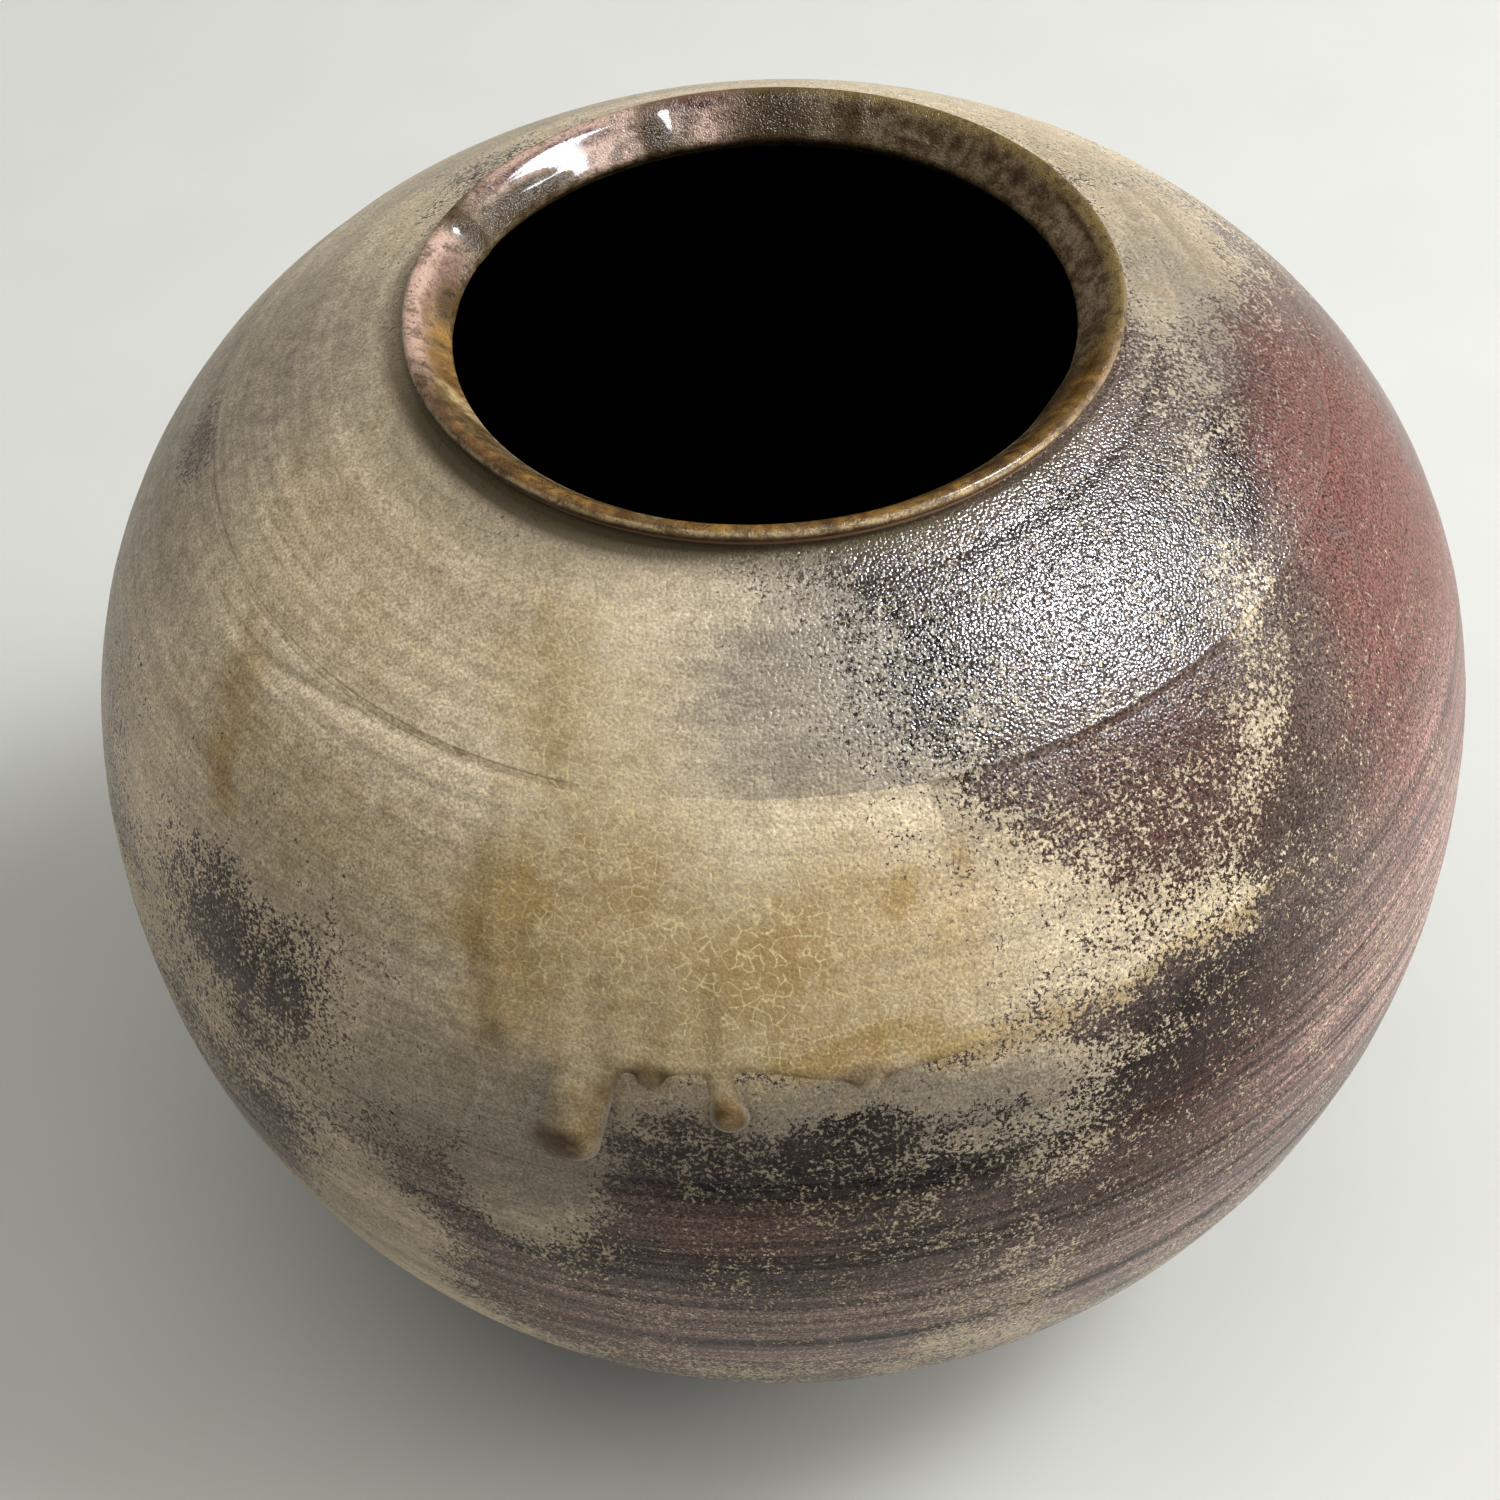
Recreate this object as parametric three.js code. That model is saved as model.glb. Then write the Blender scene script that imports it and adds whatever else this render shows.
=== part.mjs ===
// A wood-fired ikebana jar: a squat globe thrown in stages on the wheel, with a wide flared mouth.
//
// Each stage is thrown by itself and its rim is cut with a V groove. The next stage has the matching
// ridge, and the two are luted with a ring of slip. Ash melts over the shoulder and runs down the front.
// Units are millimetres, +Z is up, and the origin is the middle of the foot's resting face.
// A bearing is in degrees round the jar: 0 faces the front (-Y) and 90 faces the right (+X).
// A rise is a height above the widest level of the belly.

import * as THREE from 'three';
import { ParametricGeometry } from 'three/addons/geometries/ParametricGeometry.js';

// Outside of the globe: two superellipse quarters that meet at the widest level
const BELLY_RADIUS = 120;
const UPPER_REACH = 96; // height at which the upper quarter would close
const UPPER_FULLNESS = 2.34; // superellipse exponent, where 2 is a plain ellipse
const LOWER_REACH = 118; // depth at which the lower quarter would close
const LOWER_FULLNESS = 2.07;

// Thrown walls and the joints between the stages
const WALL = 6;
const FLOOR = 8;
const FLOOR_BLEND = 16; // height of the curve that carries the floor into the wall
const BELLY_SEAM_RISE = 16.5;
const DOME_HEIGHT = 18.5; // from the shoulder seam up to the neck seam
const NECK_RADIUS = 57; // outside radius of the neck seam
const GROOVE_DEPTH = 2;
const SLIP = 0.8;
const CLEARANCE = 0.3;

// Mouth
const LIP_RADIUS = 57.5;
const LIP_HEIGHT = 3.7; // from the neck seam up to the outer edge of the lip
const LIP_WIDTH = 2.4; // from the outer edge of the lip in to where the mouth starts to slope down
const LIP_DIP = 0.5; // how far the top of the lip slopes down over that width
const LIP_SOFTNESS = 1.4; // how far the rounding of each lip corner reaches
const THROAT_RADIUS = 49.4;
const THROAT_DROP = 5.9; // from the outer edge of the lip down to the narrowest place

// Foot
const FOOT_RADIUS = 58; // outside radius of the flat base
const FOOT_SETBACK = 1.5;
const FOOT_WIDTH = 10;
const FOOT_HEIGHT = 5;
const FOOT_TAPER = 1.2;
const FOOT_SOFTNESS = 1.2;

// Glaze coats
const GLAZE = 0.7;
const RIM_GLAZE_END = 0.5; // share of the mouth's underside that the rim glaze covers
const SHEET_LEFT = -34; // bearing
const SHEET_RIGHT = 27; // bearing
const SHEET_TOP = 8; // below the neck seam
const SHEET_BOTTOM = 52; // below the neck seam
const SHEET_DRAW = 12; // how far the upper and lower edges draw in at the two sides
const BEAD = 0.8; // extra thickness at the tip of a drip
const BEAD_FOCUS = 6; // exponent that keeps the bead near the tip
const BLUNTNESS = 4; // exponent of the drips' outline, where 2 is a bell and more is blunter
const LONG_DRIP = 18;
const MIDDLE_DRIP = 9;
const SHORT_DRIP = 4;
const DRIPS = [
  { bearing: -24, halfWidth: 2, length: SHORT_DRIP },
  { bearing: -18, halfWidth: 3, length: LONG_DRIP },
  { bearing: -12, halfWidth: 1.6, length: SHORT_DRIP },
  { bearing: -6, halfWidth: 1.8, length: MIDDLE_DRIP },
  { bearing: 4, halfWidth: 2.2, length: SHORT_DRIP },
];

// Facets
const SEGMENTS = 44; // round the jar
const BOWL_STEPS = 7; // up each stage's wall
const BELLY_STEPS = 4;
const DOME_STEPS = 3;
const CORNER_STEPS = 3;
const ROUNDED_SHARE = 0.4; // the most of an edge that the rounding of one corner takes
const SHEET_COLUMNS = 54;
const SHEET_ROWS = 8;

const JOINT_GAP = SLIP + 2 * CLEARANCE;
const COAT_DEPTH = GLAZE + CLEARANCE;
const NECK_RISE = riseOfRadius(NECK_RADIUS, UPPER_REACH, UPPER_FULLNESS);
const SHOULDER_SEAM_RISE = NECK_RISE - DOME_HEIGHT;
const BASE_RISE = -riseOfRadius(FOOT_RADIUS, LOWER_REACH, LOWER_FULLNESS);
const FLOOR_RISE = BASE_RISE + FLOOR;
const BELLY_LEVEL = FOOT_HEIGHT + JOINT_GAP - BASE_RISE; // height of the widest level over the table

// Outline of the wall

function riseOfRadius(radius, reach, fullness) {
  return reach * (1 - (radius / BELLY_RADIUS) ** fullness) ** (1 / fullness);
}

function quarterAt(rise) {
  return rise >= 0
    ? { reach: UPPER_REACH, fullness: UPPER_FULLNESS }
    : { reach: LOWER_REACH, fullness: LOWER_FULLNESS };
}

function radiusAt(rise) {
  const { reach, fullness } = quarterAt(rise);
  return BELLY_RADIUS * (1 - (Math.abs(rise) / reach) ** fullness) ** (1 / fullness);
}

function outward(rise) {
  const { reach, fullness } = quarterAt(rise);
  const radial = (radiusAt(rise) / BELLY_RADIUS) ** (fullness - 1) / BELLY_RADIUS;
  const axial = (Math.sign(rise) * (Math.abs(rise) / reach) ** (fullness - 1)) / reach;
  return new THREE.Vector2(radial, axial).normalize();
}

function upTheWall(rise) {
  const normal = outward(rise);
  return new THREE.Vector2(-normal.y, normal.x);
}

// Point of the wall at a rise, sunk below the outer skin by a depth
function skin(rise, depth = 0) {
  return new THREE.Vector2(radiusAt(rise), rise).addScaledVector(outward(rise), -depth);
}

// Even levels strictly between two seams
function levelsBetween(bottom, top, steps) {
  return Array.from({ length: steps - 1 }, (_, i) => THREE.MathUtils.lerp(bottom, top, (i + 1) / steps));
}

// Face across the wall at a seam, moved up the wall by a lift: outer edge, groove, inner edge
function jointFace(rise, lift, outerDepth = 0) {
  const shift = upTheWall(rise).multiplyScalar(lift);
  const groove = upTheWall(rise).multiplyScalar(-GROOVE_DEPTH);
  const face = [skin(rise, outerDepth), skin(rise, WALL / 2).add(groove), skin(rise, WALL)];
  return face.map((point) => point.add(shift));
}

// Profiles, each a closed run of points: up the outside, across the top and down the inside

function stageProfile(bottomSeam, topSeam, levels) {
  return [
    ...levels.map((level) => skin(level)),
    ...jointFace(topSeam, -JOINT_GAP / 2),
    ...levels.toReversed().map((level) => skin(level, WALL)),
    ...jointFace(bottomSeam, JOINT_GAP / 2).toReversed(),
  ];
}

function slipProfile(seam) {
  return [...jointFace(seam, SLIP / 2, CLEARANCE), ...jointFace(seam, -SLIP / 2, CLEARANCE).toReversed()];
}

// Inside of the bowl from its lowest wall level to the axis, sunk further into the jar by an extra depth
function floorRun(lowestLevel, extra) {
  const wallEnd = skin(lowestLevel, WALL + extra);
  const downTheWall = upTheWall(lowestLevel).negate();
  const floorRise = FLOOR_RISE + extra;
  const corner = wallEnd.clone().addScaledVector(downTheWall, (floorRise - wallEnd.y) / downTheWall.y);
  const reach = corner.distanceTo(wallEnd);
  const floorStart = new THREE.Vector2(corner.x - reach, floorRise);
  const blend = new THREE.QuadraticBezierCurve(wallEnd, corner, floorStart).getPoints(CORNER_STEPS);
  return [...blend.slice(1), new THREE.Vector2(0, floorRise)];
}

// A run of straight edges with its inner corners rounded, so far as the edges beside them allow
function softened(corners, softness) {
  const path = new THREE.Path();
  path.moveTo(corners[0].x, corners[0].y);
  for (let i = 1; i < corners.length - 1; i += 1) {
    const corner = corners[i];
    const before = towards(corner, corners[i - 1], roundingReach(corner, corners[i - 1], softness));
    const after = towards(corner, corners[i + 1], roundingReach(corner, corners[i + 1], softness));
    path.lineTo(before.x, before.y);
    path.quadraticCurveTo(corner.x, corner.y, after.x, after.y);
  }
  path.lineTo(corners.at(-1).x, corners.at(-1).y);
  return path.getPoints(CORNER_STEPS);
}

function roundingReach(corner, neighbour, softness) {
  return Math.min(softness, ROUNDED_SHARE * corner.distanceTo(neighbour));
}

function towards(from, to, distance) {
  return from.clone().add(to.clone().sub(from).setLength(distance));
}

// The same run of edges moved to its left by a depth
function inset(corners, depth) {
  return corners.map((corner, i) => {
    const into = leftOf(corners[Math.max(i - 1, 0)], corners[Math.max(i, 1)]);
    const last = corners.length - 1;
    const outOf = leftOf(corners[Math.min(i, last - 1)], corners[Math.min(i + 1, last)]);
    const mitre = into.clone().add(outOf).divideScalar(1 + into.dot(outOf));
    return corner.clone().addScaledVector(mitre, depth);
  });
}

function leftOf(from, to) {
  const along = to.clone().sub(from).normalize();
  return new THREE.Vector2(-along.y, along.x);
}

// Glazed outline of the mouth: neck seam, outer edge of the lip, bend of its slope, throat, inside of the seam
function mouthCorners() {
  const [outside, , inside] = jointFace(NECK_RISE, JOINT_GAP / 2);
  const crest = NECK_RISE + LIP_HEIGHT;
  return [
    outside,
    new THREE.Vector2(LIP_RADIUS, crest),
    new THREE.Vector2(LIP_RADIUS - LIP_WIDTH, crest - LIP_DIP),
    new THREE.Vector2(THROAT_RADIUS, crest - THROAT_DROP),
    inside,
  ];
}

// Solids of revolution

function revolve(profile) {
  const raised = profile.map((point) => new THREE.Vector2(point.x, point.y + BELLY_LEVEL));
  const geometry = new THREE.LatheGeometry(raised, SEGMENTS);
  return geometry.rotateX(Math.PI / 2);
}

function revolveLoop(profile) {
  return revolve([...profile, profile[0]]);
}

const bowlLevels = levelsBetween(BASE_RISE, BELLY_SEAM_RISE, BOWL_STEPS);
const bowlInnerLevels = bowlLevels.filter((level) => skin(level, WALL).y > FLOOR_RISE + FLOOR_BLEND);
const bellyLevels = levelsBetween(BELLY_SEAM_RISE, SHOULDER_SEAM_RISE, BELLY_STEPS);
const domeLevels = levelsBetween(SHOULDER_SEAM_RISE, NECK_RISE, DOME_STEPS);

function footRing() {
  const top = BASE_RISE - JOINT_GAP;
  const table = top - FOOT_HEIGHT;
  const outer = FOOT_RADIUS - FOOT_SETBACK;
  const inner = outer - FOOT_WIDTH;
  const corners = [
    new THREE.Vector2(inner, top),
    new THREE.Vector2(inner + FOOT_TAPER, table),
    new THREE.Vector2(outer - FOOT_TAPER, table),
    new THREE.Vector2(outer, top),
  ];
  return revolveLoop(softened(corners, FOOT_SOFTNESS));
}

function footLuting() {
  const outer = FOOT_RADIUS - FOOT_SETBACK - CLEARANCE;
  const inner = FOOT_RADIUS - FOOT_SETBACK - FOOT_WIDTH + CLEARANCE;
  const bottom = BASE_RISE - CLEARANCE - SLIP;
  const top = BASE_RISE - CLEARANCE;
  return revolveLoop([
    new THREE.Vector2(outer, bottom),
    new THREE.Vector2(outer, top),
    new THREE.Vector2(inner, top),
    new THREE.Vector2(inner, bottom),
  ]);
}

function lowerBowl() {
  return revolve([
    new THREE.Vector2(0, BASE_RISE),
    new THREE.Vector2(FOOT_RADIUS, BASE_RISE),
    ...bowlLevels.map((level) => skin(level)),
    ...jointFace(BELLY_SEAM_RISE, -JOINT_GAP / 2),
    ...bowlInnerLevels.toReversed().map((level) => skin(level, WALL)),
    ...floorRun(bowlInnerLevels[0], 0),
  ]);
}

function bellyWall() {
  return revolveLoop(stageProfile(BELLY_SEAM_RISE, SHOULDER_SEAM_RISE, bellyLevels));
}

function shoulderDome() {
  return revolveLoop(stageProfile(SHOULDER_SEAM_RISE, NECK_RISE, domeLevels));
}

function luting(seam) {
  return revolveLoop(slipProfile(seam));
}

// The clay of the mouth lies one coat of glaze below the outline that is seen
function neckCollar() {
  const corners = mouthCorners();
  const clay = softened(inset(corners, COAT_DEPTH), LIP_SOFTNESS - COAT_DEPTH / 2);
  const ridge = jointFace(NECK_RISE, JOINT_GAP / 2)[1];
  return revolveLoop([corners[0], ...clay, corners.at(-1), ridge]);
}

function rimGlaze() {
  const corners = mouthCorners();
  const [root, lipOuter] = corners;
  const [throat, inside] = corners.slice(-2);
  const coat = [
    towards(root, lipOuter, CLEARANCE),
    ...corners.slice(1, -1),
    throat.clone().lerp(inside, RIM_GLAZE_END),
  ];
  const under = softened(inset(coat, GLAZE), LIP_SOFTNESS - GLAZE / 2);
  return revolveLoop([...softened(coat, LIP_SOFTNESS), ...under.toReversed()]);
}

// Lining from just under the neck seam down the wall and across the floor
function innerGlaze() {
  const face = (extra) => [
    jointFace(NECK_RISE, -JOINT_GAP / 2)[2].addScaledVector(outward(NECK_RISE), -extra),
    ...domeLevels.toReversed().map((level) => skin(level, WALL + extra)),
    skin(SHOULDER_SEAM_RISE, WALL + extra),
    ...bellyLevels.toReversed().map((level) => skin(level, WALL + extra)),
    skin(BELLY_SEAM_RISE, WALL + extra),
    ...bowlInnerLevels.toReversed().map((level) => skin(level, WALL + extra)),
    ...floorRun(bowlInnerLevels[0], extra),
  ];
  return revolve([...face(CLEARANCE).toReversed(), ...face(COAT_DEPTH)]);
}

// The run of ash glaze on the front, a thin sheet whose lower edge hangs in drips

function dripShape(drip, bearing) {
  return Math.exp(-(((bearing - drip.bearing) / drip.halfWidth) ** BLUNTNESS));
}

function sheetEdges(bearing, along) {
  const draw = SHEET_DRAW * (2 * along - 1) ** BLUNTNESS;
  const reaches = DRIPS.map((drip) => drip.length * dripShape(drip, bearing));
  return { top: SHEET_TOP + draw, bottom: SHEET_BOTTOM - draw + Math.max(...reaches) };
}

function sheetThickness(bearing, across, along) {
  const edges = Math.sqrt(Math.sin(Math.PI * across) * Math.sin(Math.PI * along));
  const beads = DRIPS.map((drip) => dripShape(drip, bearing) * across ** BEAD_FOCUS);
  return edges * (GLAZE + BEAD * Math.max(...beads));
}

function ashGlazeSheet() {
  const placePoint = (round, along, target) => {
    const front = round <= 0.5;
    const across = front ? 2 * round : 2 - 2 * round;
    const bearing = THREE.MathUtils.lerp(SHEET_LEFT, SHEET_RIGHT, along);
    const { top, bottom } = sheetEdges(bearing, along);
    const drop = THREE.MathUtils.lerp(top, bottom, across);
    const thickness = front ? sheetThickness(bearing, across, along) : 0;
    const point = skin(NECK_RISE - drop, -CLEARANCE - thickness);
    const angle = THREE.MathUtils.degToRad(bearing);
    target.set(point.x * Math.sin(angle), -point.x * Math.cos(angle), point.y + BELLY_LEVEL);
  };
  return new ParametricGeometry(placePoint, 2 * SHEET_ROWS, SHEET_COLUMNS);
}

// The jar

const jar = new THREE.Group();

function addPiece(name, geometry, color, roughness) {
  const material = new THREE.MeshStandardMaterial({ color, roughness, metalness: 0 });
  const mesh = new THREE.Mesh(geometry, material);
  mesh.name = name;
  jar.add(mesh);
}

addPiece('foot_ring', footRing(), 0x7d5a48, 0.85);
addPiece('foot_luting', footLuting(), 0x6b4a3c, 0.9);
addPiece('lower_bowl', lowerBowl(), 0x6e5a52, 0.6);
addPiece('belly_luting', luting(BELLY_SEAM_RISE), 0x5a463e, 0.8);
addPiece('belly_wall', bellyWall(), 0x75594f, 0.6);
addPiece('shoulder_luting', luting(SHOULDER_SEAM_RISE), 0x4f3f39, 0.8);
addPiece('shoulder_dome', shoulderDome(), 0x8c7f6c, 0.5);
addPiece('neck_luting', luting(NECK_RISE), 0x4a3a2e, 0.8);
addPiece('neck_collar', neckCollar(), 0x7a6248, 0.6);
addPiece('rim_glaze', rimGlaze(), 0x8f6c34, 0.2);
addPiece('ash_glaze_sheet', ashGlazeSheet(), 0xb29a6a, 0.35);
addPiece('inner_glaze', innerGlaze(), 0x14100d, 0.4);

export default jar;
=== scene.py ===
# %% [markdown]
# # A wood-fired ikebana jar
# The jar is a squat globe of stoneware, thrown on the wheel in three stages and fired with wood, so that
# ash settled on its shoulder, melted and ran down the front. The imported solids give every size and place.
# They are loaded first, as a fixed frame, and each of them is then replaced by a piece with the real
# surface: rings from the throwing, a crust of ash granules, a crackled glaze with drips, a glossy lip.

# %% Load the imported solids
import math
from collections import namedtuple

import bpy
import numpy as np
from mathutils import Matrix, Vector


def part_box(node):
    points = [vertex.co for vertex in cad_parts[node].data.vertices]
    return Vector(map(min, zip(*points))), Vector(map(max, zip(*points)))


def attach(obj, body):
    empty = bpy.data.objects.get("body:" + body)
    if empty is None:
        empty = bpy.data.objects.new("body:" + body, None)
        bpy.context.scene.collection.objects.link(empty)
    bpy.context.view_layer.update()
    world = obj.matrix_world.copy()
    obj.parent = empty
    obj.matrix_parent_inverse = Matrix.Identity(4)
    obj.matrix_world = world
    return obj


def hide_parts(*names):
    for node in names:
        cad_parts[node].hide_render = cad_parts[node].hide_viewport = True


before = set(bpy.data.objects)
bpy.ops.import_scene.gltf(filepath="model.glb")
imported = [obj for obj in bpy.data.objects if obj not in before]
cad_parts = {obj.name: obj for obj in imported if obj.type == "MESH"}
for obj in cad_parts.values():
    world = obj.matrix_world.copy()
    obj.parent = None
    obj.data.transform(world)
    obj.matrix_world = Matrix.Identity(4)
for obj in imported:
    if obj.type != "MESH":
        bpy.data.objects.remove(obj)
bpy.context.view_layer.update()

MM = 0.001
print("solids:", ", ".join(sorted(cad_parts)))

# %% [markdown]
# The outside of the globe is two superellipse quarters that meet at the widest level, the same curve that
# the solids follow. A place on it is told by its bearing, in degrees round the jar from the front (-Y)
# towards the right (+X), and by its run, the distance in mm down the wall from the neck. Run is the better
# measure for a pot, because slip, ash and melted glaze all travel down the wall.

# %% The wall's curve
BELLY_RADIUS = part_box("lower_bowl")[1].x / MM
BASE_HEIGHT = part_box("lower_bowl")[0].z / MM
UPPER_REACH, UPPER_FULLNESS = 96, 2.34
LOWER_REACH, LOWER_FULLNESS = 118, 2.07
NECK_RADIUS = 57
BASE_RADIUS = 58
BELLY_SEAM_RISE = 16.5
DOME_HEIGHT = 18.5
CURVE_STEPS = 4000


def rise_of_radius(radius, reach, fullness):
    return reach * (1 - (radius / BELLY_RADIUS) ** fullness) ** (1 / fullness)


def wall_radius(rise):
    reach = np.where(rise > 0, UPPER_REACH, LOWER_REACH)
    fullness = np.where(rise > 0, UPPER_FULLNESS, LOWER_FULLNESS)
    return BELLY_RADIUS * (1 - (np.abs(rise) / reach) ** fullness) ** (1 / fullness)


NECK_RISE = rise_of_radius(NECK_RADIUS, UPPER_REACH, UPPER_FULLNESS)
BASE_RISE = -rise_of_radius(BASE_RADIUS, LOWER_REACH, LOWER_FULLNESS)
BELLY_LEVEL = BASE_HEIGHT - BASE_RISE

LEVELS = np.linspace(NECK_RISE, BASE_RISE, CURVE_STEPS)
RADII = wall_radius(LEVELS)
RUNS = np.concatenate([[0], np.cumsum(np.hypot(np.diff(RADII), np.diff(LEVELS)))])
OUTWARD = -np.gradient(LEVELS, RUNS)
UPWARD = np.gradient(RADII, RUNS)


def run_at(rise):
    return np.interp(-np.asarray(rise), -LEVELS, RUNS)


def on_wall(run, lift=0):
    """Radius and height in mm of the place at a run, lifted off the wall or, below 0, sunk into it."""
    radius = np.interp(run, RUNS, RADII) + lift * np.interp(run, RUNS, OUTWARD)
    height = np.interp(run, RUNS, LEVELS) + lift * np.interp(run, RUNS, UPWARD) + BELLY_LEVEL
    return radius, height


BASE_RUN = RUNS[-1]
BELLY_SEAM = run_at(BELLY_SEAM_RISE)
SHOULDER_SEAM = run_at(NECK_RISE - DOME_HEIGHT)
print(f"widest level {BELLY_LEVEL:.1f} mm up, seams at runs {SHOULDER_SEAM:.1f} and {BELLY_SEAM:.1f}, "
      f"base at run {BASE_RUN:.1f}")

# %% [markdown]
# A pot is made by drawing its section and turning it, and so is its model. Starting from a plane that is
# merged to one point, the section is extruded point by point and spun round the axis. A spin slows down
# with every step it has taken, so the section is first spun into a narrow wedge, and a second spin sets
# copies of the wedge all round. The doubles between them are merged and the faces are turned outwards.

# %% Throwing on the wheel
WEDGES = 20
WEDGE_COLUMNS = 24
DOUBLES_APART = 0.001
SMOOTH_ANGLE = math.radians(50)


def clear_selection():
    if bpy.context.object and bpy.context.object.mode != "OBJECT":
        bpy.ops.object.mode_set(mode="OBJECT")
    bpy.ops.object.select_all(action="DESELECT")


def throw(name, section):
    """Draw a section, a list of (radius, height) in mm, and spin it into a closed piece."""
    clear_selection()
    bpy.ops.mesh.primitive_plane_add(size=MM, location=(0, 0, 0))
    piece = bpy.context.active_object
    piece.name = piece.data.name = name
    points = [Vector((radius, 0, height)) * MM for radius, height in section]
    bpy.ops.object.mode_set(mode="EDIT")
    bpy.ops.mesh.merge(type="CENTER")
    bpy.ops.transform.translate(value=points[0])
    for here, there in zip(points, points[1:]):
        bpy.ops.mesh.extrude_vertices_move(TRANSFORM_OT_translate={"value": there - here})
    bpy.ops.mesh.select_all(action="SELECT")
    wedge = math.tau / WEDGES
    bpy.ops.mesh.spin(steps=WEDGE_COLUMNS, angle=wedge, center=(0, 0, 0), axis=(0, 0, 1))
    bpy.ops.mesh.select_all(action="SELECT")
    bpy.ops.mesh.spin(steps=WEDGES - 1, angle=math.tau - wedge, dupli=True, center=(0, 0, 0), axis=(0, 0, 1))
    bpy.ops.mesh.select_all(action="SELECT")
    bpy.ops.mesh.remove_doubles(threshold=DOUBLES_APART * MM)
    bpy.ops.mesh.normals_make_consistent(inside=False)
    bpy.ops.object.mode_set(mode="OBJECT")
    bpy.ops.object.shade_smooth_by_angle(angle=SMOOTH_ANGLE)
    print(f"{name}: {len(section)} points spun to {len(piece.data.polygons)} faces")
    return piece


def positions(piece):
    flat = np.empty(3 * len(piece.data.vertices))
    piece.data.vertices.foreach_get("co", flat)
    return flat.reshape(-1, 3) / MM


def move_to(piece, places):
    piece.data.vertices.foreach_set("co", (places * MM).ravel())
    piece.data.update()


def bearings(places):
    return np.degrees(np.arctan2(places[:, 0], -places[:, 1]))


# %% [markdown]
# The fingers leave low rings in the clay as the pot turns, and a rib or a fingernail cuts finer grooves.
# The joints of the stages stay too: on the shoulder as a small step with a shallow scoop below it, which
# melted glaze has filled in front, and above the widest level as a fine line. At the left a soft fold of
# clay leaves the shoulder's joint and sags as it goes round. All this could be carved by hand in sculpt
# mode. A function of bearing and run that gives the height in mm is chosen because it can be used again:
# the clay, the slip and the glaze over them all follow the same rings.

# %% Rings left by the throwing
RIPPLE, SWELL = 0.02, 0.03
OVAL, THREE_SIDED = 0.25, 0.15
# How far in mm the grooves climb at the right, and the bearings and runs over which they do
RIGHT_CLIMB, RIGHT_BEARINGS, RIGHT_RUNS = 5, (15, 75), (80, 105)
JOINT_STEP = 0.5
JOINT_SCOOP = 4.5
JOINT_RIDGE = 0.14
# Bearing and half width of the two places where the joint hardly shows
FAINT_FRONT, FAINT_LEFT = (1, 20), (-60, 38)
FOLD_BEARING, FOLD_HALF_TURN = -44, 20
# How far in mm the fold sags, and over which degrees to the left
FOLD_SAG, SAG_TURN = 4.0, (38, 62)
FOLD_SWELL, FOLD_CUT = 0.32, 0.4
# Each groove is given by its run, its half width and its depth in mm
GROOVES = [(7.5, 1.1, 0.16), (94, 1.0, 0.05), (100.6, 0.6, 0.15), (103.6, 0.6, 0.18), (107, 0.6, 0.07),
           (111, 0.6, 0.08), (114, 0.6, 0.08), (118, 0.6, 0.18), (121, 0.6, 0.2), (124, 0.6, 0.08),
           (127.5, 0.7, 0.1), (132.5, 0.8, 0.2), (138, 0.6, 0.1), (142, 0.7, 0.08), (146.5, 0.8, 0.18),
           (153, 0.8, 0.1), (161, 1.2, 0.1), (179, 1.0, 0.1)]


def smooth_step(value, low, high):
    share = np.clip((value - low) / (high - low), 0, 1)
    return share * share * (3 - 2 * share)


def bell(value, middle, half):
    return np.exp(-((value - middle) / half) ** 2)


def plateau(value, middle, half):
    return np.exp(-((value - middle) / half) ** 4)


def scored(bearing, run):
    """Depth in mm of the grooves that the rib and the fingers cut, which rise a little towards the right."""
    turn = np.radians(bearing)
    drift = run + 0.5 * np.sin(turn + 0.6) + 0.3 * np.sin(2 * turn)
    drift = drift + RIGHT_CLIMB * smooth_step(bearing, *RIGHT_BEARINGS) * smooth_step(run, *RIGHT_RUNS)
    return sum(depth * bell(drift, level, half_width) for level, half_width, depth in GROOVES)


def shoulder_joint(bearing, run):
    """Height in mm of the step at the shoulder's joint, which the glaze fills in front and at the left."""
    below = run - SHOULDER_SEAM
    shown = 0.55 - 0.35 * plateau(bearing, *FAINT_FRONT) - 0.5 * plateau(bearing, *FAINT_LEFT)
    step = -JOINT_STEP * smooth_step(below, -1.0, 0.6) * np.exp(-np.maximum(below, 0) / JOINT_SCOOP)
    return shown * (step + JOINT_RIDGE * bell(below, -0.9, 0.6))


def left_fold(bearing, run):
    """Height in mm of the fold at the left: a thin cut with a soft swelling below it."""
    sag = run - SHOULDER_SEAM - 1.0 - FOLD_SAG * smooth_step(-bearing, *SAG_TURN)
    return plateau(bearing, FOLD_BEARING, FOLD_HALF_TURN) * (
        FOLD_SWELL * bell(sag, 3.2, 1.9) - FOLD_CUT * bell(sag, 0, 1))


def rings(bearing, run):
    """Height in mm of the thrown surface over the plain curve."""
    turn = np.radians(bearing)
    ripples = RIPPLE * np.sin(run / 1.05 + 0.4 * np.sin(run / 7)) + SWELL * np.sin(run / 2.3 + turn)
    wobble = OVAL * np.sin(2 * turn + run / 60) + THREE_SIDED * np.sin(3 * turn - run / 40)
    return ripples - scored(bearing, run) + shoulder_joint(bearing, run) + left_fold(bearing, run) + wobble


front = rings(0, RUNS)
print(len(GROOVES), "grooves, the deepest", max(depth for _, _, depth in GROOVES), "mm deep")
print(f"in front the surface stands from {front.min():.2f} to {front.max():.2f} mm over the plain curve")

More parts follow.
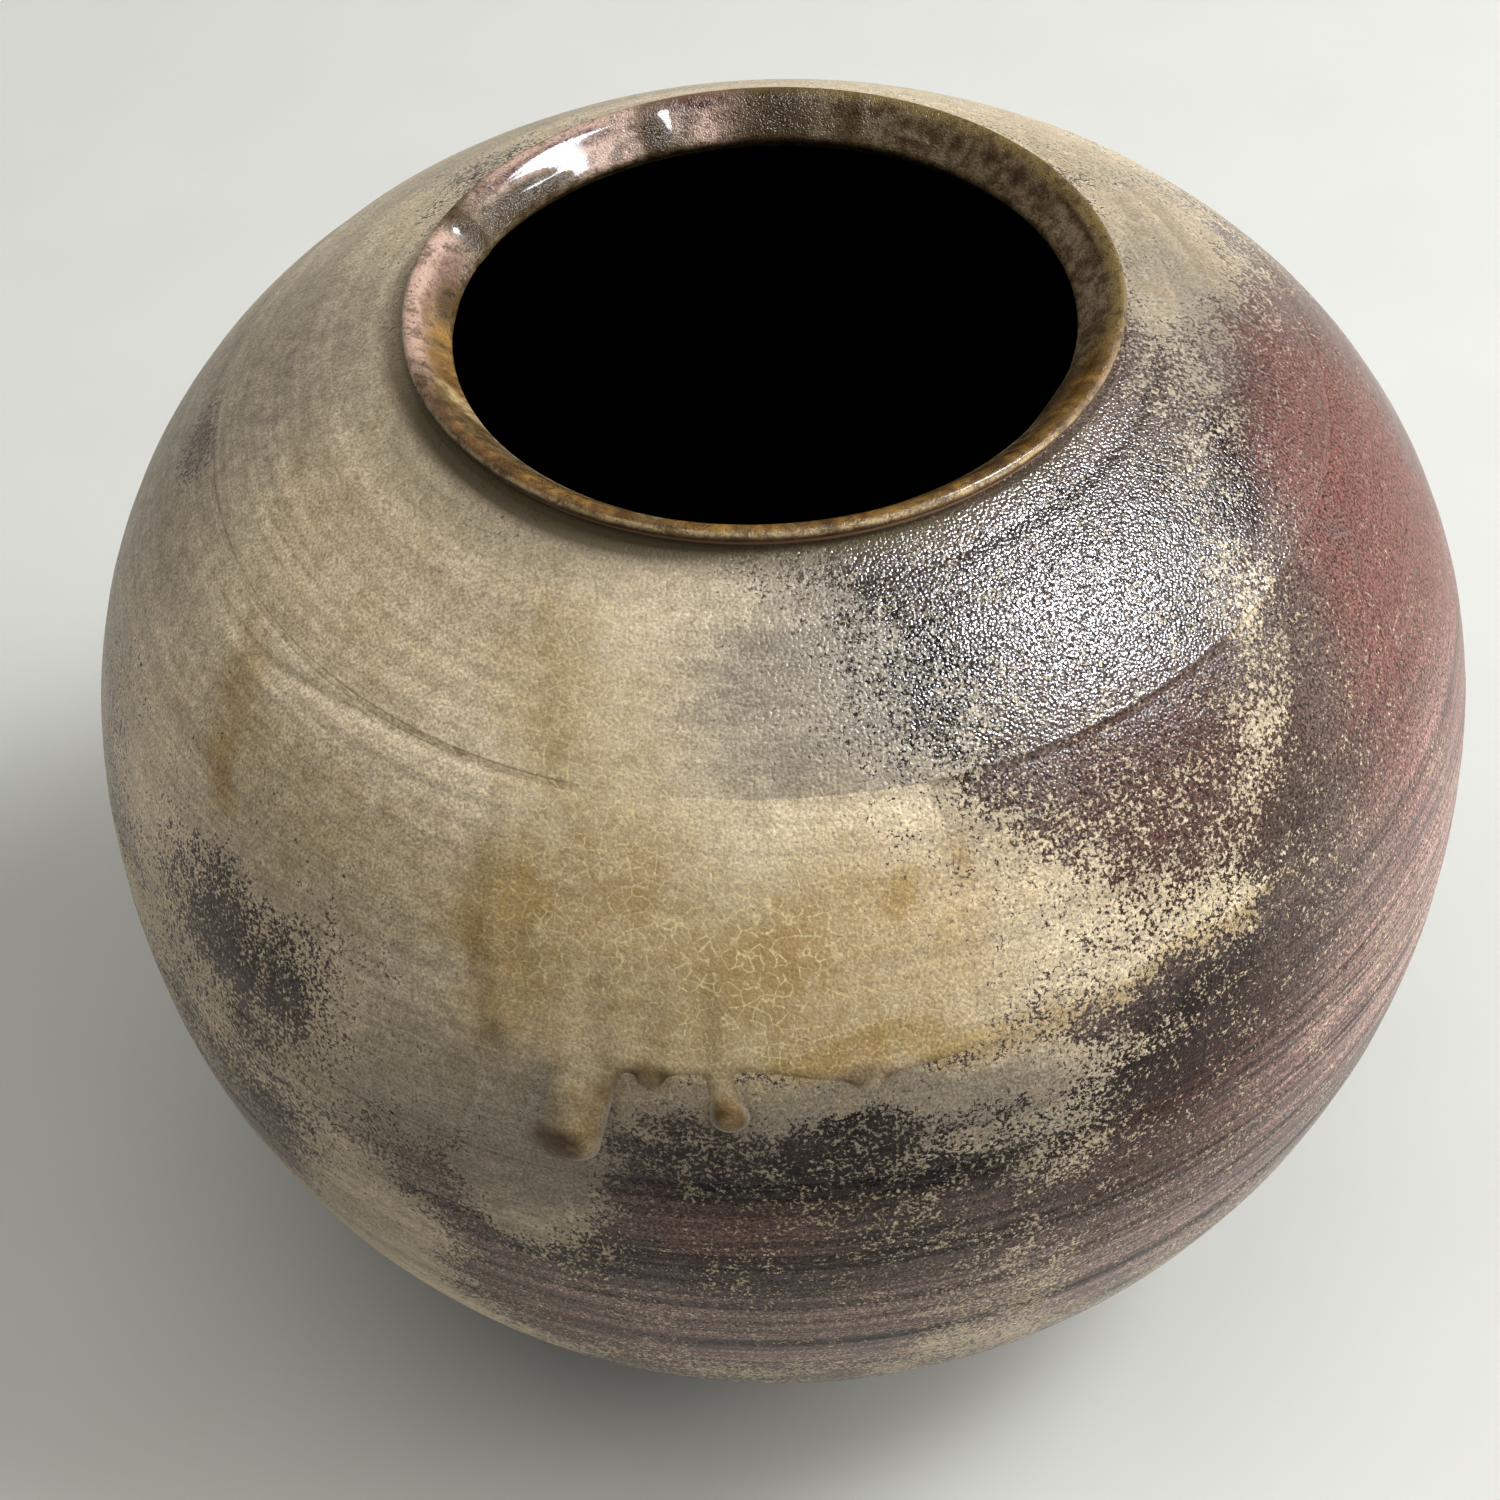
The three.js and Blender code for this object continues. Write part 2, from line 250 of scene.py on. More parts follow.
# %% [markdown]
# To press the rings into a piece, each of its points is moved along the normal of the wall. Points on the
# outer skin move by the full height and deeper ones by less, so the inside of the wall stays plain. A
# displace modifier with a texture could do it too, but it knows nothing of bearings and runs.

# %% Pressing the rings in
RING_DEPTH = 3
NECK_MARGIN, BASE_MARGIN = 0.5, 1


def press_rings(piece):
    """Move a piece's outer skin by the rings, fading out towards the inside of the wall."""
    places = positions(piece)
    radius = np.hypot(places[:, 0], places[:, 1])
    run = run_at(places[:, 2] - BELLY_LEVEL)
    outward = np.interp(run, RUNS, OUTWARD)
    upward = np.interp(run, RUNS, UPWARD)
    depth = (np.interp(run, RUNS, RADII) - radius) * outward
    share = np.clip(1 - depth / RING_DEPTH, 0, 1) * (run > NECK_MARGIN) * (run < BASE_RUN - BASE_MARGIN)
    push = share * rings(bearings(places), run)
    around = places[:, :2] / np.maximum(radius, 1e-6)[:, None]
    places[:, :2] += around * (push * outward)[:, None]
    places[:, 2] += push * upward
    move_to(piece, places)
    print(f"{piece.name}: rings pressed in, up to {np.abs(push).max():.2f} mm")


# %% [markdown]
# Each stage is a ring of wall between two seams. Its section goes down the outside in rows that are fine
# enough for the rings, and comes back up the inside in coarse rows, where only the lining lies. The edges
# at the seams are eased by a fraction of a millimetre, as a wet sponge leaves them. Close rows all over
# would cost faces that nobody sees, so they are closest near a seam and wider low on the bowl.

# %% Walls of the three stages
WALL = 6
ROW = 0.8
FINE_ROW = 0.35
FINE_ZONE = 4.5
LOW_RUN = 165
LOW_ROW = 1.4
INNER_ROW = 6
SEAM = 1.0
EASE = 0.14
FIRST_ROW = 0.5
# How far from a seam each eased point lies, and which share of the ease it gets
EASED_POINTS = [(0, 1.0), (0.06, 0.4), (0.2, 0.1)]


def rows(start, end, pitch):
    return np.linspace(start, end, max(2, round(abs(end - start) / pitch) + 1))


def wall_rows(start, end):
    """Runs between two places, farther apart low on the bowl, where the view only grazes the wall."""
    if end <= LOW_RUN:
        return rows(start, end, ROW)
    return np.concatenate([rows(start, LOW_RUN, ROW), rows(LOW_RUN, end, LOW_ROW)[1:]])


def outer_face(start, end):
    """Points down the outside of a stage, with eased edges at both seams."""
    near = [(start + way, -share * EASE) for way, share in EASED_POINTS]
    far = [(end - way, -share * EASE) for way, share in reversed(EASED_POINTS)]
    upper = rows(start + FIRST_ROW, start + FINE_ZONE, FINE_ROW)
    middle = wall_rows(start + FINE_ZONE, end - FINE_ZONE)[1:-1]
    lower = rows(end - FINE_ZONE, end - FIRST_ROW, FINE_ROW)
    plain = [(run, 0) for run in np.concatenate([upper, middle, lower])]
    return [on_wall(run, lift) for run, lift in near + plain + far]


def inner_face(start, end):
    return [on_wall(run, -WALL) for run in rows(start, end, INNER_ROW)]


def stage(name, top, bottom):
    top, bottom = top + SEAM / 2, bottom - SEAM / 2
    section = outer_face(top, bottom) + inner_face(bottom, top)
    piece = throw(name, section + section[:1])
    press_rings(piece)
    return piece


shoulder_dome = stage("dressed_shoulder_dome", 0, SHOULDER_SEAM)
belly_wall = stage("dressed_belly_wall", SHOULDER_SEAM, BELLY_SEAM)

# %% [markdown]
# The lowest stage is a bowl. Its wall runs on to the base, turns under with a small soft edge and closes
# at the axis. Inside, a broad curve carries the wall into the floor, as the thrower's fingers leave it. A
# bevel could soften these corners. Here they are drawn into the section as curves, because a section that
# is right before it is spun needs no mending afterwards.

# %% Lower bowl
FLOOR = 8
FLOOR_BLEND = 16
FLOOR_CORNER = 0.55 * FLOOR_BLEND
BASE_EDGE = 2.0
BASE_SETBACK = 0.3
BOWL_ROW = 4
BEND_STEPS = 8


def bend(start, corner, end):
    """Points of a curve that sets out from a start towards a corner and comes to an end from there."""
    start, corner, end = np.array(start), np.array(corner), np.array(end)
    shares = np.linspace(0, 1, BEND_STEPS)[:, None]
    return list((1 - shares) ** 2 * start + 2 * shares * (1 - shares) * corner + shares ** 2 * end)


def rounded(before, corner, after, reach):
    """Points of a soft corner that starts and ends a reach away from the sharp one."""
    start = corner + reach * (before - corner) / np.linalg.norm(before - corner)
    end = corner + reach * (after - corner) / np.linalg.norm(after - corner)
    return bend(start, corner, end)


def inside_to_axis(start, depth):
    """Points down the inside of the wall and across the floor, sunk by a depth below the outer skin."""
    floor_height = BASE_HEIGHT + FLOOR + depth - WALL
    runs = rows(start, BASE_RUN, BOWL_ROW)
    wall = np.array([on_wall(run, -depth) for run in runs])
    wall = wall[wall[:, 1] > floor_height + FLOOR_BLEND]
    corner = np.array([wall[-1, 0] - FLOOR_CORNER, floor_height])
    middle = np.array([0, floor_height])
    curve = rounded(wall[-1], corner, middle, np.linalg.norm(wall[-1] - corner))
    return list(wall) + curve[1:] + [middle]


def lower_bowl_section():
    outside = outer_face(BELLY_SEAM + SEAM / 2, BASE_RUN - BASE_EDGE)[:-len(EASED_POINTS)]
    edge = np.array([BASE_RADIUS - BASE_SETBACK, BASE_HEIGHT])
    turn_under = rounded(np.array(outside[-1]), edge, np.array([0, BASE_HEIGHT]), BASE_EDGE)
    inside = inside_to_axis(BELLY_SEAM + SEAM / 2, WALL)
    return [(0, BASE_HEIGHT)] + list(reversed(outside + turn_under)) + inside


lower_bowl = throw("dressed_lower_bowl", lower_bowl_section())
press_rings(lower_bowl)

# %% [markdown]
# Slip fills the joints. On the wall it is a narrow band, a little below the skin and cut by the same
# rings, so a joint shows as a fine line. Under the lip it is a hollow fillet, wiped with a wet finger. A
# dark line in the material could stand for a joint, but only a shape of its own catches the light.

# %% Slip in the joints
SLIP_SINK = 0.04
SLIP_POINTS = 5
NECK_HEIGHT = BELLY_LEVEL + NECK_RISE
NECK_FILLET = 1.8
NECK_SLIP_DEPTH = 4
NECK_SLIP_RISE = 0.5
WALL_SLIP_DEPTH = 3
CREASE_RADIUS = 55.6
CREASE_HEIGHT = 0.7
FILLET_HOLLOW = 0.3
FILLET_SINK = 0.1
FILLET_TUCK = 0.2


def seam_slip(name, run):
    face = [on_wall(run + offset, -SLIP_SINK) for offset in np.linspace(-SEAM / 2, SEAM / 2, SLIP_POINTS)]
    back = [on_wall(run + SEAM / 2, -WALL), on_wall(run - SEAM / 2, -WALL)]
    piece = throw(name, face + back + face[:1])
    press_rings(piece)
    return piece


belly_luting = seam_slip("dressed_belly_luting", BELLY_SEAM)
shoulder_luting = seam_slip("dressed_shoulder_luting", SHOULDER_SEAM)

neck_face = bend(on_wall(NECK_FILLET, -FILLET_SINK),
                 (CREASE_RADIUS + FILLET_HOLLOW, NECK_HEIGHT + FILLET_TUCK),
                 (CREASE_RADIUS - FILLET_SINK, NECK_HEIGHT + CREASE_HEIGHT + FILLET_TUCK))
neck_back = [(NECK_RADIUS - NECK_SLIP_DEPTH, NECK_HEIGHT + NECK_SLIP_RISE),
             on_wall(NECK_FILLET, -WALL_SLIP_DEPTH)]
neck_luting = throw("dressed_neck_luting", neck_face + neck_back + neck_face[:1])
press_rings(neck_luting)

# %% [markdown]
# The foot is a trimmed ring of bare clay. It can't be seen in the photograph, so it is the plain tapered
# ring that such jars have, with soft edges from the trimming tool. A fillet of slip holds it to the base.
# Both are spun like the walls, because a trimmed foot is round in the same way.

# %% Foot ring
FOOT_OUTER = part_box("foot_ring")[1].x / MM
FOOT_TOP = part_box("foot_ring")[1].z / MM
FOOT_WIDTH = 10
FOOT_INNER = FOOT_OUTER - FOOT_WIDTH
FOOT_TAPER = 1.2
FOOT_EDGE = 1.2
FOOT_FILLET = 0.6
FOOT_SLIP_SETBACK = 1


def foot_section():
    corners = [(FOOT_INNER, FOOT_TOP), (FOOT_INNER + FOOT_TAPER, 0),
               (FOOT_OUTER - FOOT_TAPER, 0), (FOOT_OUTER, FOOT_TOP)]
    inner_top, inner_low, outer_low, outer_top = [np.array(corner) for corner in corners]
    low_edges = (rounded(inner_top, inner_low, outer_low, FOOT_EDGE)
                 + rounded(inner_low, outer_low, outer_top, FOOT_EDGE))
    return [inner_top] + low_edges + [outer_top, inner_top]


foot_ring = throw("dressed_foot_ring", foot_section())
foot_fillet = bend((FOOT_OUTER - FILLET_SINK, FOOT_TOP - FOOT_FILLET), (FOOT_OUTER, BASE_HEIGHT),
                   (BASE_RADIUS - FILLET_TUCK, BASE_HEIGHT + FILLET_SINK))
foot_slip = [(FOOT_INNER + FOOT_SLIP_SETBACK, height) for height in (BASE_HEIGHT, FOOT_TOP)]
foot_luting = throw("dressed_foot_luting", foot_fillet + foot_slip + foot_fillet[:1])

# %% [markdown]
# The lip is a rolled edge over a deep crease, and inside it the mouth slopes down to the throat like a
# funnel. The collar is clay, and the rim glaze lies over it. Melted glaze isn't even: it gathers in rolls
# down the inside of the mouth and thins on the crest. A coat of that kind could be sculpted, but it is
# easier to spin it as an even skin here and to push its outer points out later, once the places where it
# gathers are painted.

# %% Collar and rim glaze
LIP_RADIUS = 57.5
LIP_HEIGHT = 3.7
LIP_WIDTH = 2.4
LIP_DIP = 0.5
LIP_EDGE = 1.1
LIP_LEAN = 0.2
CHEEK_HEIGHT = 1.7
CHEEK_EDGE = 0.9
THROAT_RADIUS = 49.4
THROAT_DROP = 5.9
THROAT_EDGE = 1.4
UNDERCUT, UNDERCUT_DROP = 2.6, 3.0
GLAZE = 0.7
COAT_ROW = 0.35
COAT_GAP = 0.02
COLLAR_STRIDE = 3
COLLAR_ROOT_RUN = 0.2
COLLAR_ROOT_DEPTHS = (5.5, 0.5)


def way_along(points):
    """Distance in mm along a line from its first point to each of its points."""
    return np.concatenate([[0], np.cumsum(np.linalg.norm(np.diff(points, axis=0), axis=1))])


def resample(points, pitch):
    points = np.array(points)
    way = way_along(points)
    stops = rows(0, way[-1], pitch)
    return np.column_stack([np.interp(stops, way, points[:, 0]), np.interp(stops, way, points[:, 1])])


def mouth_outline():
    """The glazed outline from the crease under the lip, over the crest and down past the throat."""
    crest = NECK_HEIGHT + LIP_HEIGHT
    crease = np.array([CREASE_RADIUS, NECK_HEIGHT + CREASE_HEIGHT])
    cheek = np.array([LIP_RADIUS, NECK_HEIGHT + CHEEK_HEIGHT])
    outer = np.array([LIP_RADIUS - LIP_LEAN, crest])
    inner = np.array([LIP_RADIUS - LIP_WIDTH, crest - LIP_DIP])
    throat = np.array([THROAT_RADIUS, crest - THROAT_DROP])
    under = np.array([THROAT_RADIUS + UNDERCUT, crest - THROAT_DROP - UNDERCUT_DROP])
    soft = (rounded(crease, cheek, outer, CHEEK_EDGE) + rounded(cheek, outer, inner, LIP_EDGE)
            + rounded(outer, inner, throat, LIP_EDGE) + rounded(inner, throat, under, THROAT_EDGE))
    return resample([crease] + soft + [under], COAT_ROW)


def sunk(outline, depth):
    """The same outline moved to its inner side."""
    along = np.gradient(outline, axis=0)
    along /= np.linalg.norm(along, axis=1)[:, None]
    inward = np.column_stack([-along[:, 1], along[:, 0]])
    return outline + depth * inward


MOUTH = mouth_outline()
MOUTH_WAY = way_along(MOUTH)
rim_glaze = throw("dressed_rim_glaze", list(MOUTH) + list(reversed(sunk(MOUTH, GLAZE))) + [MOUTH[0]])
collar_face = sunk(MOUTH, GLAZE + COAT_GAP)[::COLLAR_STRIDE]
collar_root = [on_wall(COLLAR_ROOT_RUN, -depth) for depth in COLLAR_ROOT_DEPTHS]
neck_collar = throw("dressed_neck_collar", list(collar_face) + collar_root + [collar_face[0]])
print(f"the glaze goes {MOUTH_WAY[-1]:.1f} mm over the lip")

# %% [markdown]
# The dark lining is what makes the jar hold water. It is nearly black, as a dark glaze and as painted
# shade for the dark inside of the jar. It follows the inside of the wall and the floor, and its upper edge
# ends under the collar. A copy of the wall's inside could be thickened, but its section is already known,
# so it is drawn at two depths and spun.

# %% Inner lining
LINING_CLEARANCE = 0.3
LINING_TOP = 1.5
lining_front = inside_to_axis(LINING_TOP, WALL + LINING_CLEARANCE + GLAZE)
lining_back = inside_to_axis(LINING_TOP, WALL + LINING_CLEARANCE)
inner_glaze = throw("dressed_inner_glaze", lining_back[::-1] + lining_front)

# %% [markdown]
# The ash that melted on the shoulder ran down the front as one sheet and stopped in a few drips with beads
# at their tips. Its outline is worked out as a reach: how far in mm a place lies inside the edge. A level
# edge and the drips, each a thick line, melt together where their reaches are added softly.

# %% Outline of the glaze run
EDGE_RUN = 80
EDGE_CLIMB, CLIMB_BEARING = 0.035, 4
MELTING = 1.5
# Bearings and runs over which the run of glaze fades out at its two sides and at its top
LEFT_FADE, RIGHT_FADE = (-29, -17), (8, 22)
TOP_FADE = (26, 44)
Drip = namedtuple("Drip", "bearing start_run end_bearing end_run neck_width half_width bead")
DRIPS = [
    Drip(-16.2, 76, -17.9, 94.0, 5.0, 4.8, 0.8),
    Drip(-7.2, 76, -6.0, 86.6, 1.7, 3.0, 0.6),
    Drip(-12.0, 76, -11.8, 80.6, 2.2, 2.0, 0.15),
    Drip(3.4, 76, 4.2, 80.2, 3.2, 2.8, 0.2),
]
MM_PER_DEGREE = math.radians(1) * float(np.interp(EDGE_RUN, RUNS, RADII))


def drip_reach(drip, bearing, run):
    across, down = (bearing - drip.bearing) * MM_PER_DEGREE, run - drip.start_run
    lean, length = (drip.end_bearing - drip.bearing) * MM_PER_DEGREE, drip.end_run - drip.start_run
    share = np.clip((across * lean + down * length) / (lean ** 2 + length ** 2), 0, 1)
    width = drip.neck_width + (drip.half_width - drip.neck_width) * share ** 2
    return width - np.hypot(across - share * lean, down - share * length)


def glaze_reach(bearing, run):
    waves = 0.8 * np.sin(np.radians(bearing * 14)) + 0.4 * np.sin(np.radians(bearing * 31 + 40))
    climb = EDGE_CLIMB * np.maximum(bearing - CLIMB_BEARING, 0) ** 1.7
    reach = EDGE_RUN + waves - climb - run
    for drip in DRIPS:
        reach = np.logaddexp(MELTING * reach, MELTING * drip_reach(drip, bearing, run)) / MELTING
    return reach


def glaze_presence(bearing, run):
    """1 on the run itself, fading out at its two sides and towards the top, where it thins out."""
    sides = smooth_step(bearing, *LEFT_FADE) * (1 - smooth_step(bearing, *RIGHT_FADE))
    return sides * smooth_step(run, *TOP_FADE)


print(len(DRIPS), "drips, the longest down to run", max(drip.end_run for drip in DRIPS))

# %% [markdown]
# A grid is laid over the front and wrapped on the wall, with its rows closest together near the drips.
# Each of its points is lifted by the depth of the glaze there. Outside the run the grid lies just under
# the clay, so the visible edge is where the glaze truly meets the wall. Solidify then gives the sheet its
# thickness, as the coat on the real jar has.

# %% Sheet of ash glaze
SHEET_LEFT, SHEET_RIGHT = -31, 23
SHEET_TOP, DRIPS_TOP, SHEET_END = 24, 74, 101
SHEET_ROW, DRIPS_ROW = 1.2, 0.42
SHEET_RUNS = np.concatenate([rows(SHEET_TOP, DRIPS_TOP, SHEET_ROW),
                             rows(DRIPS_TOP, SHEET_END, DRIPS_ROW)[1:]])
SHEET_PITCH = 0.45
SHEET_DEPTH = 0.16
SHEET_COAT = 0.5
EDGE_RISE = 1.5
EDGE_ROLL, ROLL_REACH, ROLL_HALF = 0.12, 1.6, 1.4
UNDER_CLAY = 0.45
UNDER_SLOPE = 0.3


def glaze_depth(bearing, run):
    """Depth in mm of the glaze over the clay, below 0 where there is none."""
    reach = glaze_reach(bearing, run)
    body = SHEET_DEPTH * (1 - np.exp(-np.maximum(reach, 0) / EDGE_RISE))
    roll = EDGE_ROLL * bell(reach, ROLL_REACH, ROLL_HALF)
    beads = 0
    for drip in DRIPS:
        tip = np.hypot((bearing - drip.end_bearing) * MM_PER_DEGREE, run - drip.end_run) / drip.half_width
        beads = beads + drip.bead * np.clip(1 - tip ** 2, 0, 1)
    depth = np.where(reach > 0, body + (roll + beads) * smooth_step(reach, 0, 1), UNDER_SLOPE * reach)
    return np.maximum((depth + UNDER_CLAY) * glaze_presence(bearing, run), 0) - UNDER_CLAY


def lay_sheet(name):
    clear_selection()
    columns = round((SHEET_RIGHT - SHEET_LEFT) * MM_PER_DEGREE / SHEET_PITCH)
    lines = len(SHEET_RUNS) - 1
    bpy.ops.mesh.primitive_grid_add(x_subdivisions=columns, y_subdivisions=lines, size=2 * MM)
    piece = bpy.context.active_object
    piece.name = piece.data.name = name
    spread = (positions(piece) + 1) / 2
    bearing = SHEET_LEFT + (SHEET_RIGHT - SHEET_LEFT) * spread[:, 0]
    run = np.interp((1 - spread[:, 1]) * lines, np.arange(lines + 1), SHEET_RUNS)
    radius, height = on_wall(run, rings(bearing, run) + glaze_depth(bearing, run))
    turn = np.radians(bearing)
    move_to(piece, np.column_stack([radius * np.sin(turn), -radius * np.cos(turn), height]))
    solidify = piece.modifiers.new("coat", "SOLIDIFY")
    solidify.thickness = SHEET_COAT * MM
    solidify.offset = -1
    bpy.ops.object.modifier_apply(modifier=solidify.name)
    bpy.ops.object.shade_smooth_by_angle(angle=SMOOTH_ANGLE)
    print(f"{name}: {len(piece.data.polygons)} faces")
    return piece


ash_glaze_sheet = lay_sheet("dressed_ash_glaze_sheet")

# %% [markdown]
# Where the flame and the ash went decides the colours: pale ash on the left shoulder, ochre glaze in
# front, bare dark clay on the right with a red blush, and a dark band under the glaze. A picture could be
# wrapped round the jar, but it would stretch and blur. Instead each of these is a coat that is painted on
# the points of the mesh as a share, which is 1 where the coat is closed, out of a few soft patches. The
# materials then break the coats up into granules, so the patches need no fine edges. The coats in this cell
# wander sideways and up and down a little, as ash and flame do.

# %% Where each coat lies
# A patch has a middle, half sizes in degrees and mm, a share and a lean in degrees for each mm of run
Patch = namedtuple("Patch", "bearing run half_turn half_run share lean", defaults=[0])

WANDERING_COATS = {
    "ash": (0.08, [
        Patch(-78, 30, 62, 45, 1.20),
        Patch(-12, 34, 30, 50, 1.15),
        Patch(-90, 42, 7, 6, -0.70),
        Patch(15, 66, 11, 18, 0.45),
        Patch(3, 20, 17, 28, -0.28),
        Patch(0, 98, 16, 12, 0.08),
        Patch(-52, 86, 18, 20, 0.14),
        Patch(-62, 76, 8, 14, 0.35),
        Patch(-46, 68, 14, 6, 0.30),
        Patch(-48, 104, 14, 10, 0.30),
        Patch(2, 84, 17, 4, 0.50),
        Patch(15, 90, 10, 9, 0.52),
        Patch(19, 103, 5, 8, 0.34),
        Patch(-27, 87, 12, 18, 0.75),
        Patch(-20.5, 108, 6, 14, 1.00),
        Patch(-36, 104, 6, 16, 0.30),
        Patch(-80, 96, 20, 28, 0.44),
        Patch(-60, 120, 14, 22, 0.30),
        Patch(-37, 134, 8, 20, 0.90),
        Patch(-45, 162, 20, 20, 0.80),
        Patch(27, 64, 12, 16, 0.24),
        Patch(35, 56, 12, 16, 0.08),
        Patch(52, 34, 5, 10, 0.36, -0.30),
        Patch(45, 50, 5, 12, 0.36, -0.40),
        Patch(-34, 116, 12, 16, 0.12),
        Patch(32, 75, 12, 5, 0.30),
        Patch(94, 8, 22, 14, 0.60),
        Patch(106, 16, 20, 16, 0.35),
        Patch(66, 14, 12, 12, 0.18),
        Patch(80, 75, 24, 45, -0.15),
        Patch(14, 142, 7, 28, 0.32),
        Patch(10, 168, 60, 16, 0.35),
        Patch(165, 25, 55, 40, 0.90),
        Patch(-150, 70, 40, 45, 0.55),
    ]),
    "ochre": (0.0, [
        Patch(-50, 24, 28, 16, 0.28),
        Patch(-42, 56, 24, 14, 0.28),
        # Painted light: ochre is taken off the swelling under the left fold, so it is paler where it catches
        # the light
        Patch(-42, 43.5, 15, 3.5, -0.40),
        Patch(-26, 24, 6, 18, 0.38, 0.25),
        Patch(-18, 36, 9, 18, 0.30),
        Patch(-25, 62, 4, 18, 0.50, 0.1),
        Patch(-59, 50, 3, 10, 0.50, 0.1),
        Patch(-55, 63, 2.5, 6, 0.50, 0.1),
        Patch(-13, 62, 13, 20, 0.66),
        Patch(4, 62, 12, 17, 0.58),
        Patch(10, 77, 14, 4, 0.60),
        Patch(32, 77, 12, 2.5, 0.60),
        Patch(7.5, 53, 1.6, 4, 0.45),
        Patch(13, 50, 1.2, 3, 0.40),
        Patch(14, 53, 9, 10, 0.15),
        Patch(120, 20, 30, 20, 0.12),
    ]),
    "crackle": (0.0, [
        Patch(-22, 26, 9, 20, 0.75),
        Patch(-13, 58, 15, 26, 0.85),
        Patch(2, 64, 12, 20, 0.60),
    ]),
    "smoke": (0.10, [
        Patch(-94, 40, 22, 50, 0.65),
        Patch(-26, 100, 16, 24, 0.85),
        Patch(-40, 138, 16, 18, 0.45),
        Patch(6, 22, 17, 26, 0.80),
        Patch(2, 86, 20, 7, 1.00),
        Patch(2, 98, 24, 12, 0.60),
        Patch(85, 8, 28, 20, 0.50),
        Patch(42, 50, 18, 30, 0.15),
        Patch(84, 50, 20, 40, 0.50),
        Patch(115, 12, 26, 20, 0.45),
        Patch(-42, 62, 22, 14, 0.38),
    ]),
    "soot": (0.38, [
        Patch(4, 96, 20, 13, 0.60),
        Patch(30, 92, 14, 12, 0.50),
        Patch(34, 60, 16, 20, 0.45),
        Patch(40, 20, 22, 20, 0.35),
        Patch(11, 24, 10, 24, 0.60),
        Patch(-48, 84, 10, 12, 0.35),
        Patch(68, 24, 12, 6, 0.40),
        Patch(10, 127, 40, 13, 0.34),
        Patch(60, 105, 20, 25, -0.35),
        Patch(5, 152, 80, 26, -0.58),
        Patch(30, 110, 14, 14, 0.38),
        Patch(-34, 116, 14, 18, -0.25),
        Patch(76, 26, 14, 8, 0.30),
    ]),
    "blush": (0.0, [
        Patch(76, 50, 16, 24, 0.85),
        Patch(82, 30, 14, 12, 0.55),
        Patch(96, 60, 16, 40, 0.55),
        Patch(70, 74, 18, 34, 0.85),
        Patch(78, 120, 30, 40, 0.90),
        Patch(33, 54, 14, 16, 0.35),
        Patch(-6, 111, 8, 8, 0.40),
        Patch(40, 108, 20, 16, 0.30),
        Patch(-75, 105, 14, 30, 0.25),
    ]),
    "rose": (0.0, [
        Patch(67, 94, 15, 20, 0.60),
        Patch(55, 114, 18, 22, 0.85),
        Patch(30, 132, 18, 18, 0.30),
        Patch(2, 152, 50, 18, 0.38),
    ]),
    "turned": (0.12, [
        Patch(15, 142, 95, 42, 0.88),
        Patch(60, 100, 28, 30, 0.60),
        Patch(-165, 130, 90, 50, 0.80),
    ]),
}
print(sum(len(patches) for _, patches in WANDERING_COATS.values()), "patches of ash, smoke and flame")

# %% [markdown]
# Some coats keep lines of their own and stay still. The skin close under the lip is darkened towards an
# olive grey, as painted shade of the lip, and olive is melted ash that ran thick, in runs and in beads at
# the tips of the drips. The dome's red side gets a patch of painted shade, carried by the scored coat,
# because its gloss makes it look paler than the wall below.

# %% Coats that stay still
STILL_COATS = {
    # Painted shade: the skin close under the lip, darkened where the lip shades the shoulder
    "under_lip_shade": (0.0, [
        Patch(-55, 0, 60, 4, 0.70),
        Patch(-16, 0, 40, 4, 0.50),
        Patch(-16, 0, 42, 8, 0.35),
        Patch(-50, 4, 34, 9, 0.70),
        Patch(35, 0, 30, 2.5, 0.60),
    ]),
    "olive": (0.0, [
        Patch(-27.0, 56, 1.4, 10, 0.25, 0.05),
        Patch(-25.4, 69, 1.2, 8, 0.28, 0.12),
        Patch(-23.8, 79, 1.2, 3.5, 0.50, 0.1),
        Patch(-22.4, 62, 1.4, 5, 0.22, 0.1),
        Patch(-23.5, 33, 2.0, 14, 0.12, 0.25),
        Patch(-15.2, 86, 0.9, 8, 0.30, -0.08),
        Patch(-18.8, 95.4, 2.2, 3.4, 0.95),
        Patch(-17.8, 92.5, 2.6, 6.0, 0.35),
        Patch(-6.0, 86.6, 2.0, 3.2, 0.75),
        Patch(-7.0, 76, 0.8, 14, 0.28, 0.03),
        Patch(-15.4, 76, 1.5, 15, 0.24, 0.03),
        Patch(-11.6, 73, 1.1, 9, 0.22),
        Patch(-11.9, 80.2, 1.8, 2.4, 0.60),
        Patch(4.2, 80.2, 2.0, 2.2, 0.65),
        Patch(-59, 50, 1.4, 9, 0.15, 0.1),
        Patch(-55, 62, 1.2, 6, 0.20, 0.1),
    ]),
}
# Painted shade on the dome's red side, whose gloss makes it look paler than the wall below
GLOSSY_SIDE_SHADE = (0.0, [Patch(84, 32, 16, 14, 0.26)])
print(len(STILL_COATS["olive"][1]), "patches of olive in the runs and beads")

# %% [markdown]
# The share of a coat at a place is the sum of its patches there, each of which falls off softly from its
# middle. Shares may heap up past 1, so that thick ash stays closed where another coat eats into it. The
# sums are kept on the mesh as attributes with the coats' names, which the materials read. Vertex paint
# could hold them as well, but a plain number for each point is simpler to work out.

# %% Painting the coats
HEAPED = 1.5
GROOVE_SHADE_DEPTH = 0.2


